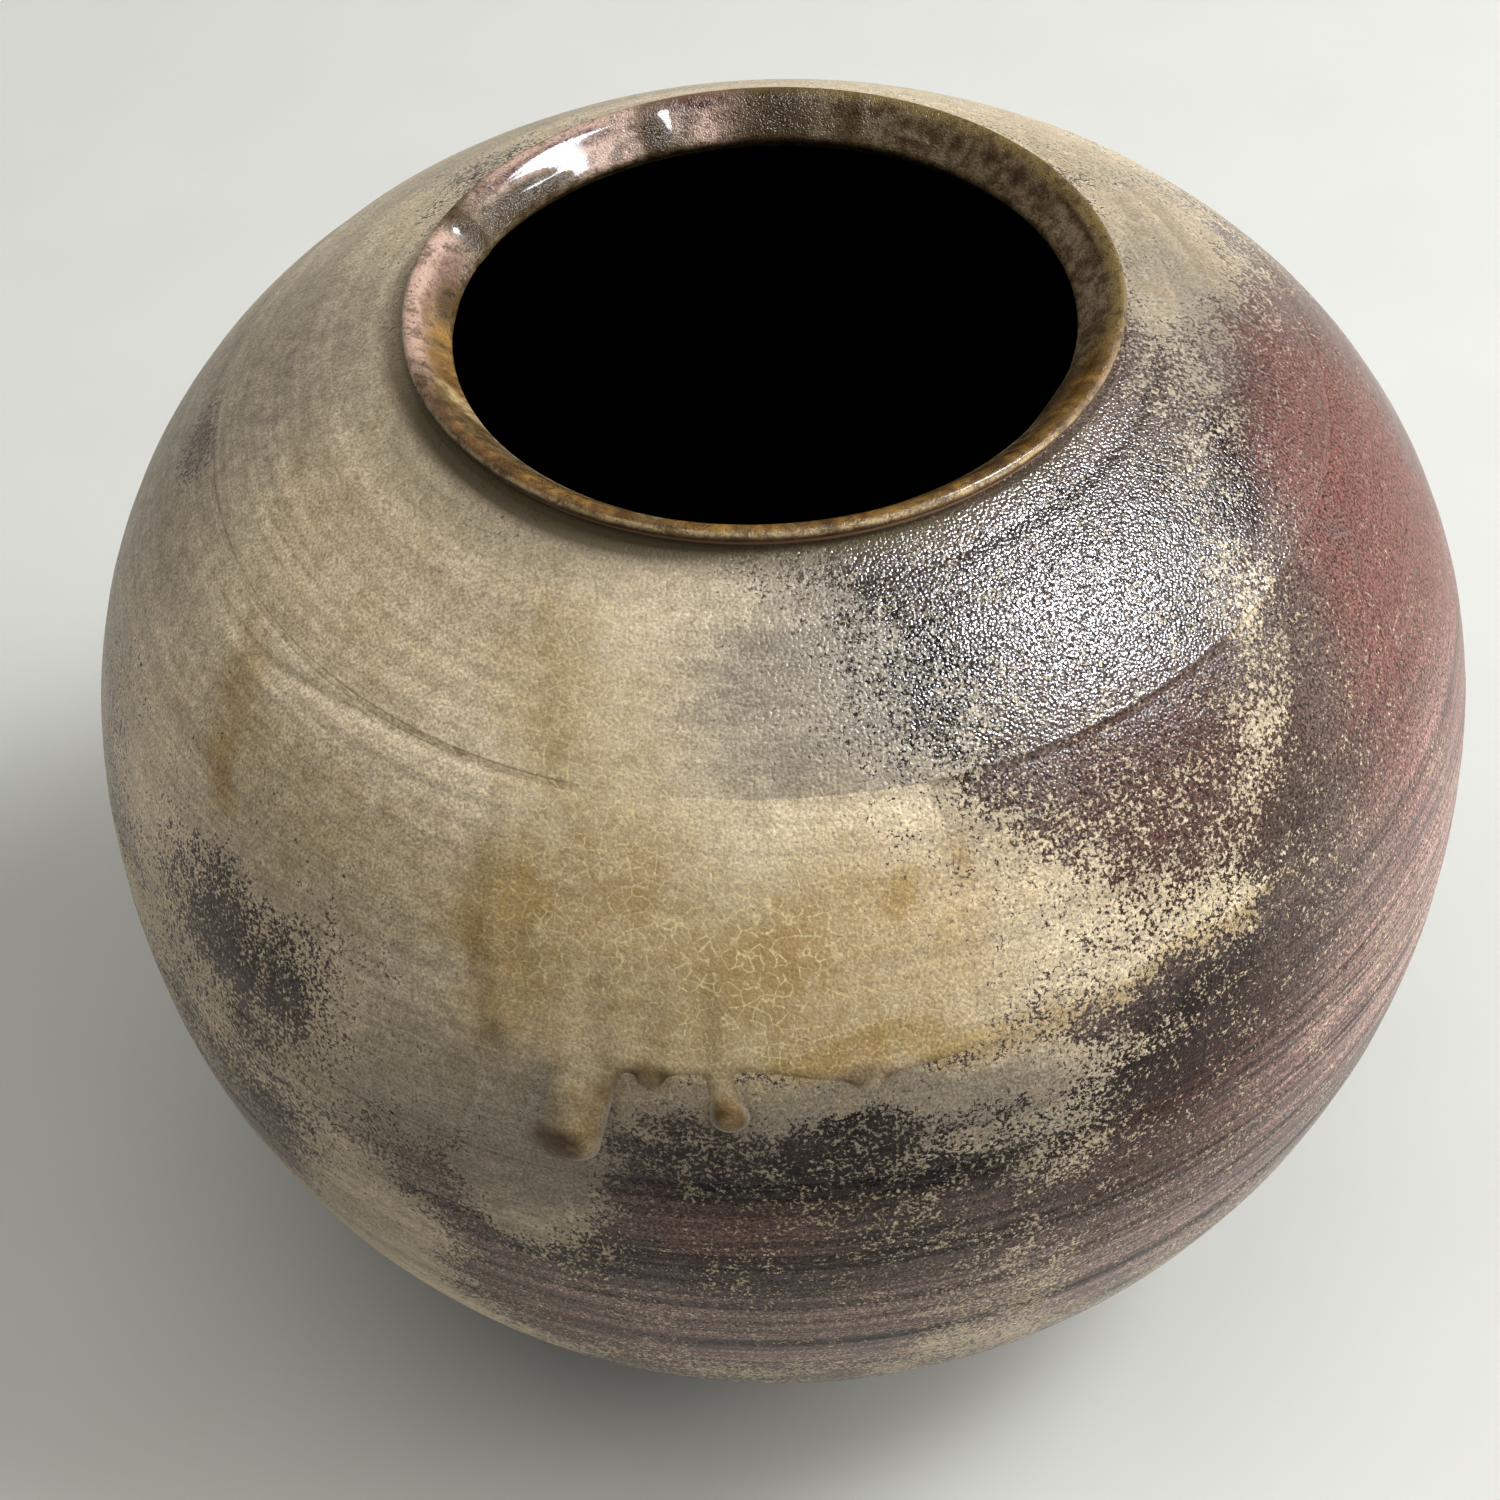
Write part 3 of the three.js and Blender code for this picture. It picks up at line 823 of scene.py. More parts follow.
def wander(bearing, run):
    """Shift places by a few degrees and mm, so that no patch keeps a straight or an even edge."""
    turn = np.radians(bearing)
    sideways = 0.9 * np.sin(run / 4.1 + 1.7 * np.sin(run / 11)) + 0.5 * np.sin(run / 1.7 + 9 * turn)
    downwards = 1.6 * np.sin(12 * turn + 1.5 * np.sin(5 * turn)) + 0.9 * np.sin(31 * turn + run / 7)
    return bearing + sideways, run + downwards


def coat_share(bearing, run, base, patches):
    share = np.full(len(run), float(base))
    for patch in patches:
        away = bearing - patch.bearing - patch.lean * (run - patch.run)
        across = ((away + 180) % 360 - 180) / patch.half_turn
        down = (run - patch.run) / patch.half_run
        share += patch.share * np.exp(-(across ** 2 + down ** 2) ** 2)
    return np.clip(share, 0, HEAPED)


def paint(piece, coats):
    """Keep the shares of some coats on the points of a piece."""
    for name, shares in coats.items():
        layer = piece.data.attributes.new(name, "FLOAT", "POINT")
        layer.data.foreach_set("value", shares.astype(np.float32))


def wall_places(piece):
    places = positions(piece)
    return bearings(places), run_at(places[:, 2] - BELLY_LEVEL)


def body_coats(piece):
    bearing, run = wall_places(piece)
    shifted = wander(bearing, run)
    coats = {name: coat_share(*shifted, *coat) for name, coat in WANDERING_COATS.items()}
    coats |= {name: coat_share(bearing, run, *coat) for name, coat in STILL_COATS.items()}
    # The grooves' depth is kept as a coat, which paints them darker as painted shade
    coats["scored"] = np.clip(scored(bearing, run) / GROOVE_SHADE_DEPTH, 0, 1)
    return coats


STAGES = (lower_bowl, belly_wall, shoulder_dome)
SLIP_RINGS = (belly_luting, shoulder_luting, neck_luting, foot_luting)
for piece in STAGES + SLIP_RINGS:
    coats = body_coats(piece)
    if piece is shoulder_dome:
        # Painted shade on the dome's red side, added to the coat that darkens the grooves
        coats["scored"] = coats["scored"] + coat_share(*wall_places(piece), *GLOSSY_SIDE_SHADE)
    paint(piece, coats)
print("coats painted:", ", ".join(coats))

# %% [markdown]
# On the run of glaze the same coats go on. Towards its lower edge and in the drips the glaze hides the ash
# under it and turns ochre, it is olive along the edge, where it is thick, and it has a thin pale line where
# it meets the clay at a bead. The outline of the run is known as a formula, so these coats are worked out
# from the reach and fit the shape exactly. The left side of the long drip melts into the ash beside it.

# %% Coats on the glaze run
MELTED_REACH = 6
EDGE_OCHRE, DRIP_OCHRE = 0.2, 0.6
OLIVE_EDGE, EDGE_OLIVE = 0.9, 0.6
PALE_LINE = 1.0
# Bearings over which the left side of the long drip turns from ash to glaze
DRIP_SIDE, PALE_SIDE = (-20, -16.5), (-20, -17)
ASH_HIDES_CLAY = (50, 66)


def paint_run(piece):
    bearing, run = wall_places(piece)
    reach = glaze_reach(bearing, run)
    inside = np.maximum(reach, 0)
    presence = glaze_presence(bearing, run)
    below_edge = smooth_step(run, EDGE_RUN + 1, EDGE_RUN + 5)
    glazed = presence * smooth_step(bearing, *DRIP_SIDE)
    lined = presence * smooth_step(bearing, *PALE_SIDE) * below_edge
    coats = body_coats(piece)
    coats["ash"] = np.maximum(coats["ash"], HEAPED * presence * smooth_step(run, *ASH_HIDES_CLAY))
    melted = EDGE_OCHRE * presence * bell(inside, 0, MELTED_REACH)
    coats["ochre"] += melted + DRIP_OCHRE * glazed * below_edge
    coats["smoke"] *= 1 - glazed * smooth_step(reach, -0.2, 0.4)
    coats["olive"] += EDGE_OLIVE * glazed * bell(inside, 0, OLIVE_EDGE)
    coats["pale_line"] = lined * (1 - smooth_step(reach, 0.3 * PALE_LINE, PALE_LINE))
    paint(piece, coats)
    print(f"glaze run painted, with {np.mean(coats['olive'][reach > 0] > 0.3):.0%} of it olive")


paint_run(ash_glaze_sheet)

# %% [markdown]
# A finish is a node tree round one Principled shader. A small class keeps the trees readable: each of its
# methods adds one node and gives back its output. Patterns are sized in mm and read Object coordinates,
# so they stay on the clay from every side.

# %% A bench for mixing finishes


def tone(red, green, blue):
    """A colour given as it looks on a screen, from 0 to 255, turned into the linear one that shaders use."""
    shares = np.array([red, green, blue]) / 255
    linear = np.where(shares <= 0.04045, shares / 12.92, ((shares + 0.055) / 1.055) ** 2.4)
    return (*linear, 1)


class Finish:
    def __init__(self, name):
        self.material = bpy.data.materials.new(name)
        self.material.use_nodes = True
        self.tree = self.material.node_tree
        self.shader = self.tree.nodes["Principled BSDF"]
        self.place = self.node("ShaderNodeTexCoord").outputs["Object"]

    def node(self, kind, inputs=None, **settings):
        made = self.tree.nodes.new(kind)
        for name, value in settings.items():
            setattr(made, name, value)
        for key, value in (inputs or {}).items():
            self.feed(made.inputs[key], value)
        return made

    def feed(self, socket, value):
        if isinstance(value, bpy.types.NodeSocket):
            self.tree.links.new(value, socket)
        else:
            socket.default_value = value

    def coat(self, name):
        return self.node("ShaderNodeAttribute", attribute_name=name).outputs["Fac"]

    def stretched(self, scale):
        mapping = self.node("ShaderNodeMapping", {"Vector": self.place, "Scale": scale})
        return mapping.outputs["Vector"]

    def grain(self, size, detail=3, roughness=0.5, place=None):
        """Cloudy noise whose lumps are about a size in mm across."""
        noise = self.node("ShaderNodeTexNoise", {
            "Vector": place or self.place, "Scale": 1 / (size * MM),
            "Detail": detail, "Roughness": roughness})
        return noise.outputs["Fac"]

    def cells(self, size, place):
        """Distance to the nearest edge between cells of a size in mm, 0 on the edges."""
        cracks = self.node("ShaderNodeTexVoronoi", {"Vector": place, "Scale": 1 / (size * MM)},
                           feature="DISTANCE_TO_EDGE")
        return cracks.outputs["Distance"]

    def domes(self, size):
        """Round grains of about a size in mm, 1 on their tops and lower in the gaps between them."""
        grains = self.node("ShaderNodeTexVoronoi", {"Vector": self.place, "Scale": 1 / (size * MM)},
                           feature="F1")
        away = grains.outputs["Distance"]
        return self.math("MULTIPLY_ADD", self.times(away, away), -1.0, 1.0)

    def math(self, operation, first, second, third=0.0):
        return self.node("ShaderNodeMath", {0: first, 1: second, 2: third}, operation=operation).outputs[0]

    def times(self, first, second):
        return self.math("MULTIPLY", first, second)

    def swing(self, grain, amount, middle=0.0):
        """A grain as a change of up to about an amount round a middle value."""
        return self.math("MULTIPLY_ADD", grain, 2 * amount, middle - amount)

    def stark(self, grain, half=0.15):
        """A grain with its contrast raised, so that it fills the span from 0 to 1."""
        return self.step(grain, 0.5 - half, 0.5 + half)

    def step(self, value, low, high):
        ramp = self.node("ShaderNodeMapRange", {"Value": value, "From Min": low, "From Max": high},
                         interpolation_type="SMOOTHSTEP")
        return ramp.outputs["Result"]

    def blend(self, share, below, above):
        mix = self.node("ShaderNodeMix", {0: share, 6: below, 7: above}, data_type="RGBA")
        return mix.outputs[2]

    def shaded(self, colour, value):
        mix = self.node("ShaderNodeMix", {0: 1.0, 6: colour, 7: value}, data_type="RGBA",
                        blend_type="MULTIPLY")
        return mix.outputs[2]

    def relief(self, height, depth):
        """Give the shader a small relief, whose height from 0 to 1 stands for a depth in mm."""
        bump = self.node("ShaderNodeBump", {"Height": height, "Distance": depth * MM, "Strength": 1.0})
        self.feed(self.shader.inputs["Normal"], bump.outputs["Normal"])


print(f"a grey of 128 on the screen is {tone(128, 128, 128)[0]:.3f} in linear light")

# %% [markdown]
# The fired skin is one finish for the whole body, because the fire made it in one go. Bare clay is at the
# bottom, from grey-brown to nearly black, with a red blush where the flame was hot and level lines where
# the wheel left them. Ash lies on it in granules under a millimetre across: a fine noise is lifted by the
# painted share of ash and cut off, so specks close up into a crust where there is much ash. Where the ash
# melted it is ochre, streaked down the wall and cracked, and olive where it ran thick. The same granules
# make the relief, and the glossy clay between them breaks the lamp's reflection into sparks. The flame
# gave the dome the most gloss, so each stage wears a skin of its own gloss.

# %% Tones and grains of the fired skin
PALE_ASH = tone(212, 194, 164)
GREY_ASH = tone(137, 127, 110)
OCHRE = tone(163, 134, 82)
CREAM = tone(177, 153, 110)
OLIVE = tone(74, 55, 20)
GREY_CLAY = tone(110, 94, 87)
BLACK_CLAY = tone(29, 18, 13)
RED_CLAY = tone(110, 73, 65)
ROSE_CLAY = tone(141, 114, 106)
CRACK = tone(214, 196, 150)
HALO = tone(160, 152, 138)
SHADE = tone(92, 82, 60)
# Sizes in mm of what breaks the skin up
GRANULE, SAND, GRIT, PEBBLE, SPECKLE, CLUMP, CLOUD = 0.7, 0.5, 0.36, 0.55, 1.8, 3, 14
# A stretched grain is a metre in size, and its stretch says how many times it is pressed along each axis
METRE = 1000
FINE_LINES, BROAD_BANDS, DOWN_STREAKS = (14, 14, 900), (4, 4, 160), (230, 25, 25)
CRACKLE_CELL, CROOK, CRACKLE_SHIFT = 2.2, 1.5, 0.8
SKIN_RELIEF = 0.115
SKIN_IOR = 1.75
STAGE_GLOSS = ((lower_bowl, 0.05), (belly_wall, 0.08), (shoulder_dome, 0.26))
THIN_GLOSS = 0.08
print(f"grains of {min(GRANULE, SAND, GRIT, PEBBLE)} to {max(CLUMP, CLOUD)} mm break up the skin")

# %% [markdown]
# Clay is what shows where no ash fell. Soot darkens it, the flame reddens it in clouds, and the wheel left
# level lines in it, which are a noise stretched flat. The grooves are painted darker, as painted shade in
# them, and sand makes it uneven close up. Each of these blends with or multiplies the colour below it, as
# one layer on the next.

# %% Bare and sooted clay


def level_lines(finish):
    """Fine lines and broader bands that run level round the pot, as a change round 0."""
    thin = finish.grain(METRE, detail=3, roughness=0.65, place=finish.stretched(FINE_LINES))
    bands = finish.grain(METRE, detail=2, place=finish.stretched(BROAD_BANDS))
    return finish.math("ADD", finish.swing(finish.stark(thin), 0.5), finish.swing(bands, 1.0))


def clay_colour(finish, sand, clouds, lines):
    soot = finish.math("ADD", finish.coat("soot"), finish.swing(clouds, 0.5))
    colour = finish.blend(soot, GREY_CLAY, BLACK_CLAY)
    flames = finish.step(clouds, 0.2, 0.5)
    colour = finish.blend(finish.times(finish.coat("blush"), flames), colour, RED_CLAY)
    colour = finish.blend(finish.times(finish.coat("rose"), flames), colour, ROSE_CLAY)
    colour = finish.shaded(colour, finish.math("MULTIPLY_ADD", lines, finish.coat("turned"), 1.0))
    # Painted shade in the grooves and on the dome's red side
    colour = finish.shaded(colour, finish.math("MULTIPLY_ADD", finish.coat("scored"), -0.55, 1.0))
    return finish.shaded(colour, finish.swing(sand, 0.85, 1.0))


# %% [markdown]
# Ash is pale where it lay dry, grey where smoke got to it, and ochre where it melted and ran, in streaks
# down the wall. Melted ash shrinks more than clay as it cools, and cracks. The crackle is made of the edges
# between Voronoi cells, which a noise makes crooked and breaks up, so that it doesn't look like a net.

# %% Ash and crackle


def crackle(finish):
    """Thin lines of the crackled glaze, about two millimetres apart and a little crooked."""
    crooks = finish.node("ShaderNodeTexNoise", {
        "Vector": finish.place, "Scale": 1 / (CROOK * MM), "Detail": 1.0})
    crooked = finish.node("ShaderNodeVectorMath", {
        0: crooks.outputs["Color"], 1: (CRACKLE_SHIFT * MM,) * 3, 2: finish.place}, operation="MULTIPLY_ADD")
    edges = finish.cells(CRACKLE_CELL, crooked.outputs["Vector"])
    lines = finish.math("SUBTRACT", 1.0, finish.step(edges, 0.0, 0.075))
    broken = finish.step(finish.grain(SPECKLE, detail=1), 0.38, 0.52)
    return finish.times(finish.times(lines, broken), finish.coat("crackle"))


def ash_colour(finish, sand, drifts, clouds, lines):
    streaks = finish.stark(finish.grain(METRE, detail=3, place=finish.stretched(DOWN_STREAKS)), 0.4)
    smoke = finish.math("ADD", finish.coat("smoke"), finish.swing(drifts, 0.5))
    colour = finish.blend(smoke, PALE_ASH, GREY_ASH)
    melted = finish.blend(streaks, CREAM, OCHRE)
    ochre = finish.math("ADD", finish.coat("ochre"), finish.swing(drifts, 0.3))
    ochre = finish.math("ADD", ochre, finish.swing(clouds, 0.25))
    colour = finish.blend(ochre, colour, melted)
    colour = finish.blend(crackle(finish), colour, CRACK)
    rough = finish.math("MULTIPLY_ADD", finish.coat("crackle"), -0.7, 1.0)
    colour = finish.shaded(colour, finish.math("MULTIPLY_ADD", finish.times(lines, rough), 0.25, 1.0))
    specks = finish.step(finish.grain(SPECKLE, detail=4, roughness=0.75), 0.5, 0.64)
    colour = finish.blend(finish.times(finish.times(specks, rough), 0.24), colour, GREY_CLAY)
    smooth = finish.math("MULTIPLY_ADD", rough, 0.2, 0.14)
    return finish.shaded(colour, finish.math("MULTIPLY_ADD", finish.swing(sand, 1.0), smooth, 1.0))


# %% [markdown]
# The skin puts clay and ash together. The granules decide between them, the olive runs, the pale line and
# the painted shade under the lip lie over both, and granules and pebbles together make the relief. Gloss,
# the strength of the reflection, is one plain value for each stage, because an exported model loses it where
# nodes work it out.

# %% Fired skin


def cut_off(finish, grain, share, softness=0.045, contrast=0.3):
    """Cut a grain off by a painted share: specks at a small share, pinholes at a large one."""
    level = finish.math("ADD", grain, finish.swing(share, contrast / 2))
    return finish.step(level, 0.5 - softness, 0.5 + softness)


def fired_skin(name, gloss):
    finish = Finish(name)
    granules = finish.grain(GRANULE, detail=3, roughness=0.75)
    sand = finish.stark(finish.grain(SAND, detail=2, roughness=0.75), 0.2)
    pebbles = finish.math("MULTIPLY_ADD", finish.grain(GRIT, detail=1), 0.6, finish.domes(PEBBLE))
    clumps = finish.grain(CLUMP, detail=2)
    clouds = finish.grain(CLOUD, detail=3, roughness=0.6)
    lines = level_lines(finish)

    patchy = finish.math("ADD", finish.swing(clumps, 0.45), finish.swing(clouds, 0.5))
    crust = cut_off(finish, granules, finish.math("ADD", finish.coat("ash"), patchy))
    clay = clay_colour(finish, sand, clouds, lines)
    colour = finish.blend(crust, clay, ash_colour(finish, sand, clumps, clouds, lines))
    olive = finish.coat("olive")
    colour = finish.blend(finish.times(olive, finish.swing(clumps, 0.5, 0.85)), colour, OLIVE)
    colour = finish.blend(finish.times(finish.coat("pale_line"), 0.6), colour, HALO)
    # Painted shade under the lip: the colour is blended towards SHADE there
    colour = finish.blend(finish.times(finish.coat("under_lip_shade"), 0.75), colour, SHADE)
    finish.feed(finish.shader.inputs["Base Color"], colour)

    dull = finish.math("MULTIPLY_ADD", crust, 0.2, 0.17)
    dull = finish.math("MULTIPLY_ADD", finish.coat("blush"), 0.08, dull)
    finish.feed(finish.shader.inputs["Roughness"], finish.math("MULTIPLY_ADD", olive, -0.15, dull))
    finish.shader.inputs["Specular IOR Level"].default_value = gloss
    finish.shader.inputs["IOR"].default_value = SKIN_IOR
    bare = finish.math("MULTIPLY_ADD", crust, -0.25, 1.0)
    finish.relief(finish.math("MULTIPLY_ADD", pebbles, bare, crust), SKIN_RELIEF)
    return finish.material


def wear(piece, material):
    piece.data.materials.clear()
    piece.data.materials.append(material)


for piece, gloss in STAGE_GLOSS:
    wear(piece, fired_skin("fired_" + piece.name, gloss))
wear(ash_glaze_sheet, fired_skin("ash_glaze", THIN_GLOSS))
slip = fired_skin("slip", THIN_GLOSS)
for piece in SLIP_RINGS:
    wear(piece, slip)
print("fired skin:", len(slip.node_tree.nodes), "nodes")

# %% [markdown]
# The rim glaze is the glossiest place. It is a grey-brown coat, streaked with gold in front, khaki on the
# crest at the right, dark amber where it gathers in rolls, pinkish where it is thin and maroon where the
# clay burns through. These coats are patches too, told by their bearing and by the way in mm over the lip,
# from the crease to the throat. Where the glaze gathers its skin is pushed out as well, because a roll has
# to catch the light as a shape. The gold streaks run down the lip, so they differ by bearing alone.

# %% Coats on the lip
RIM_COATS = {
    "gold": (0.0, [Patch(2, 6.0, 62, 4.0, 1.0), Patch(-82, 11, 22, 4, 0.85), Patch(62, 7, 9, 3.5, 0.7)]),
    "khaki": (0.0, [Patch(120, 4, 60, 2.4, 0.9), Patch(70, 6, 10, 2.5, 0.5)]),
    "cream": (0.0, [
        Patch(0, 12.6, 64, 0.9, 0.8), Patch(0, 3.2, 60, 0.45, 0.9), Patch(-68, 10.5, 4, 3, 0.6, 1.5),
        Patch(-20, 9, 3, 4, 0.6),
    ]),
    "thin": (0.0, [
        Patch(-90, 5.5, 16, 4, 0.9), Patch(-106, 6.5, 8, 5, 0.8), Patch(-144, 5.5, 20, 3.5, 1.0),
        Patch(-151, 10, 8, 3.5, 0.9), Patch(-173, 8, 7, 6, 0.8), Patch(66, 4, 6, 1.5, 0.7),
        Patch(-80, 1.5, 24, 2.5, 0.6), Patch(104, 9.5, 10, 3, 0.15), Patch(86, 9, 8, 3, 0.15),
    ]),
    "maroon": (0.0, [
        Patch(-138, 6.2, 18, 1.0, 0.8), Patch(-104, 9.5, 7, 2.5, 0.6), Patch(-171, 5.5, 8, 2, 0.8),
        Patch(38, 1.6, 28, 2.2, 0.95), Patch(68, 5, 6, 1.2, 0.6), Patch(-45, 4.6, 30, 0.9, 0.7),
        Patch(-150, 7.6, 7, 0.8, 0.6), Patch(-93, 7.5, 6, 1.0, 0.5),
    ]),
    "gather": (0.0, [
        Patch(-116, 9, 2.6, 5, 0.95), Patch(-130, 10.5, 11, 2.2, 0.95), Patch(-162, 9.5, 3.0, 5, 0.95),
        Patch(-97, 11, 6, 2.2, 0.8), Patch(176, 9, 9, 4.5, 0.9), Patch(60, 11, 8, 2.5, 0.7),
        Patch(124, 7.8, 1.3, 1.6, 0.9), Patch(131, 7.6, 1.2, 1.2, 0.8), Patch(139, 8.2, 1.4, 1.6, 0.7),
        Patch(160, 9, 2.0, 4, 0.7), Patch(148, 10.5, 4, 0.6, 0.5), Patch(114, 9, 1.0, 2.5, 0.5),
        Patch(96, 8, 1.0, 2.5, 0.5), Patch(78, 9, 1.2, 3, 0.5), Patch(105, 6.5, 9, 0.5, 0.5),
    ]),
    # Painted shade on the lip's outer side in front, over the crease
    "under_lip_shade": (0.0, [Patch(-22, 0.6, 60, 2.6, 0.8)]),
}
STREAK_SEED, STREAK_COUNT = 5, 300
STREAKS = np.random.default_rng(STREAK_SEED).random(STREAK_COUNT)
ROLL = 0.55
ROLL_START = (3, 6)
SKIN_NEAR = 0.1 * GLAZE


def dress_rim(piece):
    """Paint the lip's coats and push the glaze out where it gathers."""
    places = positions(piece)
    radius = np.hypot(places[:, 0], places[:, 1])
    apart = np.hypot(radius[:, None] - MOUTH[:, 0], places[:, 2][:, None] - MOUTH[:, 1])
    nearest = apart.argmin(axis=1)
    way, bearing = MOUTH_WAY[nearest], bearings(places)
    coats = {name: coat_share(bearing, way, *coat) for name, coat in RIM_COATS.items()}
    coats["streaks"] = np.interp(bearing, np.linspace(-180, 180, STREAK_COUNT), STREAKS)
    paint(piece, coats)
    skin = apart.min(axis=1) < SKIN_NEAR
    rolls = coats["gather"] * smooth_step(way, *ROLL_START) * skin
    push = ROLL * rolls[:, None] * (MOUTH - sunk(MOUTH, 1))[nearest]
    around = places[:, :2] / radius[:, None]
    move_to(piece, places + np.column_stack([around * push[:, :1], push[:, 1]]))
    print(f"lip painted, with rolls up to {ROLL * rolls.max():.2f} mm high")


dress_rim(rim_glaze)

# %% [markdown]
# The lip's finish blends its coats from the lowest to the highest and darkens the outer side in front as
# painted shade. A fine dark grain stands for the pores of the glaze, a low roughness makes the rolls catch
# the lamp, and small blisters break the gloss up. A thin clear coat on the shader gives the sharper, second
# reflection that a glaze has.

# %% Amber rim glaze
LIP_BROWN = tone(120, 104, 79)
DEEP_BROWN = tone(72, 55, 35)
THIN_PINK = tone(194, 162, 144)
MAROON = tone(78, 42, 36)
KHAKI = tone(124, 104, 62)
GOLD = tone(86, 56, 18)
PALE_GOLD = tone(158, 120, 60)
LIP_CREAM = tone(206, 182, 138)
DARK_AMBER = tone(60, 44, 18)
PORE = tone(44, 32, 22)
SPECK, MOTTLE, BLISTER = 0.7, 2.4, 0.35
LIP_RELIEF = 0.2


def amber_glaze():
    finish = Finish("amber_glaze")
    specks = finish.grain(SPECK, detail=3, roughness=0.7)
    mottles = finish.stark(finish.grain(MOTTLE, detail=4, roughness=0.7))
    uneven = finish.swing(mottles, 0.6, 0.9)
    gold = finish.blend(finish.coat("streaks"), GOLD, PALE_GOLD)
    layers = (("thin", THIN_PINK), ("maroon", MAROON), ("khaki", KHAKI), ("gold", gold),
              ("cream", LIP_CREAM), ("gather", DARK_AMBER))
    colour = finish.blend(mottles, DEEP_BROWN, LIP_BROWN)
    for coat, layer in layers:
        colour = finish.blend(finish.times(finish.coat(coat), uneven), colour, layer)
    colour = finish.blend(finish.times(finish.step(specks, 0.53, 0.64), 0.7), colour, PORE)
    # Painted shade: the lip's outer side in front is darkened by up to half
    colour = finish.shaded(colour, finish.math("MULTIPLY_ADD", finish.coat("under_lip_shade"), -0.5, 1.0))
    finish.feed(finish.shader.inputs["Base Color"], finish.shaded(colour, finish.swing(specks, 0.6, 1.0)))
    finish.feed(finish.shader.inputs["Roughness"], finish.swing(specks, 0.12, 0.24))
    finish.shader.inputs["Specular IOR Level"].default_value = 0.2
    finish.shader.inputs["Coat Weight"].default_value = 0.22
    finish.shader.inputs["Coat Roughness"].default_value = 0.08
    finish.relief(finish.math("MULTIPLY_ADD", finish.grain(BLISTER, detail=1), 0.7, specks), LIP_RELIEF)
    return finish.material


wear(rim_glaze, amber_glaze())
print("rim glaze:", len(rim_glaze.active_material.node_tree.nodes), "nodes")

# %% [markdown]
# The foot and the clay under the lip are bare, coarse and toasted by the flame. The lining is nearly black,
# a dark glaze and painted shade for the dark inside of the jar. Both could be one flat colour, but a cloudy
# noise between two near tones keeps them from looking painted.

# %% Bare clay and dark lining
TOAST = tone(150, 104, 78)
PALE_TOAST = tone(176, 138, 108)
LINING_AND_SHADE = tone(14, 11, 9)
DARKEST_LINING_AND_SHADE = tone(6, 5, 4)
CLAY_RELIEF = 0.2
CLAY_CLOUD, CLAY_GRAIN, LINING_CLOUD, LINING_GRAIN = 6, 0.8, 9, 5


def bare_clay():
    finish = Finish("bare_clay")
    colour = finish.blend(finish.grain(CLAY_CLOUD, detail=5, roughness=0.6), TOAST, PALE_TOAST)
    finish.feed(finish.shader.inputs["Base Color"], colour)
    finish.shader.inputs["Roughness"].default_value = 0.75
    finish.relief(finish.grain(CLAY_GRAIN, detail=4), CLAY_RELIEF)
    return finish.material


def dark_lining():
    finish = Finish("dark_lining")
    # Nearly black: a dark glaze, and painted shade for the dark inside of the jar
    colour = finish.blend(finish.grain(LINING_CLOUD, detail=3), DARKEST_LINING_AND_SHADE, LINING_AND_SHADE)
    finish.feed(finish.shader.inputs["Base Color"], colour)
    finish.feed(finish.shader.inputs["Roughness"], finish.swing(finish.grain(LINING_GRAIN), 0.1, 0.65))
    finish.shader.inputs["Specular IOR Level"].default_value = 0.2
    return finish.material


bare = bare_clay()
wear(foot_ring, bare)
wear(neck_collar, bare)
wear(inner_glaze, dark_lining())
print("bare clay on the foot and the collar, lining inside")

# %% [markdown]
# Every piece says which solid it stands for, which of the record's materials it is, and that it moves
# with the one body of the jar.

# %% Tie the pieces to the frame
PIECES = [
    (foot_ring, "foot_ring", "bare_clay"),
    (foot_luting, "foot_luting", "slip"),
    (lower_bowl, "lower_bowl", "fired_clay"),
    (belly_luting, "belly_luting", "slip"),
    (belly_wall, "belly_wall", "fired_clay"),
    (shoulder_luting, "shoulder_luting", "slip"),
    (shoulder_dome, "shoulder_dome", "fired_clay"),
    (neck_luting, "neck_luting", "slip"),
    (neck_collar, "neck_collar", "fired_clay"),
    (rim_glaze, "rim_glaze", "amber_glaze"),
    (ash_glaze_sheet, "ash_glaze_sheet", "ash_glaze"),
    (inner_glaze, "inner_glaze", "dark_lining"),
]
for piece, node, material_slot in PIECES:
    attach(piece, "root")
    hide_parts(node)
print(len(PIECES), "pieces tied to the frame")

# %% [markdown]
# The floor is a plain pale sheet of paper, dull all over, so that it shows the jar's shadow and no gleam of
# a lamp. It is stage, and no part of the jar.

# %% Floor
FLOOR_TONE = tone(218, 218, 214)
FLOOR_SHADE = tone(211, 211, 206)
FLOOR_SIZE, FLOOR_CELLS, FLOOR_CLOUD = 4, 20, 40
clear_selection()
bpy.ops.mesh.primitive_grid_add(x_subdivisions=FLOOR_CELLS, y_subdivisions=FLOOR_CELLS, size=FLOOR_SIZE)
floor = bpy.context.active_object
floor.name = "floor"
paper = Finish("floor_paper")
paper_colour = paper.blend(paper.grain(FLOOR_CLOUD, detail=4), FLOOR_SHADE, FLOOR_TONE)
paper.feed(paper.shader.inputs["Base Color"], paper_colour)
paper.shader.inputs["Roughness"].default_value = 1.0
paper.shader.inputs["Specular IOR Level"].default_value = 0.0
wear(floor, paper.material)
print("floor of", FLOOR_SIZE, "m")

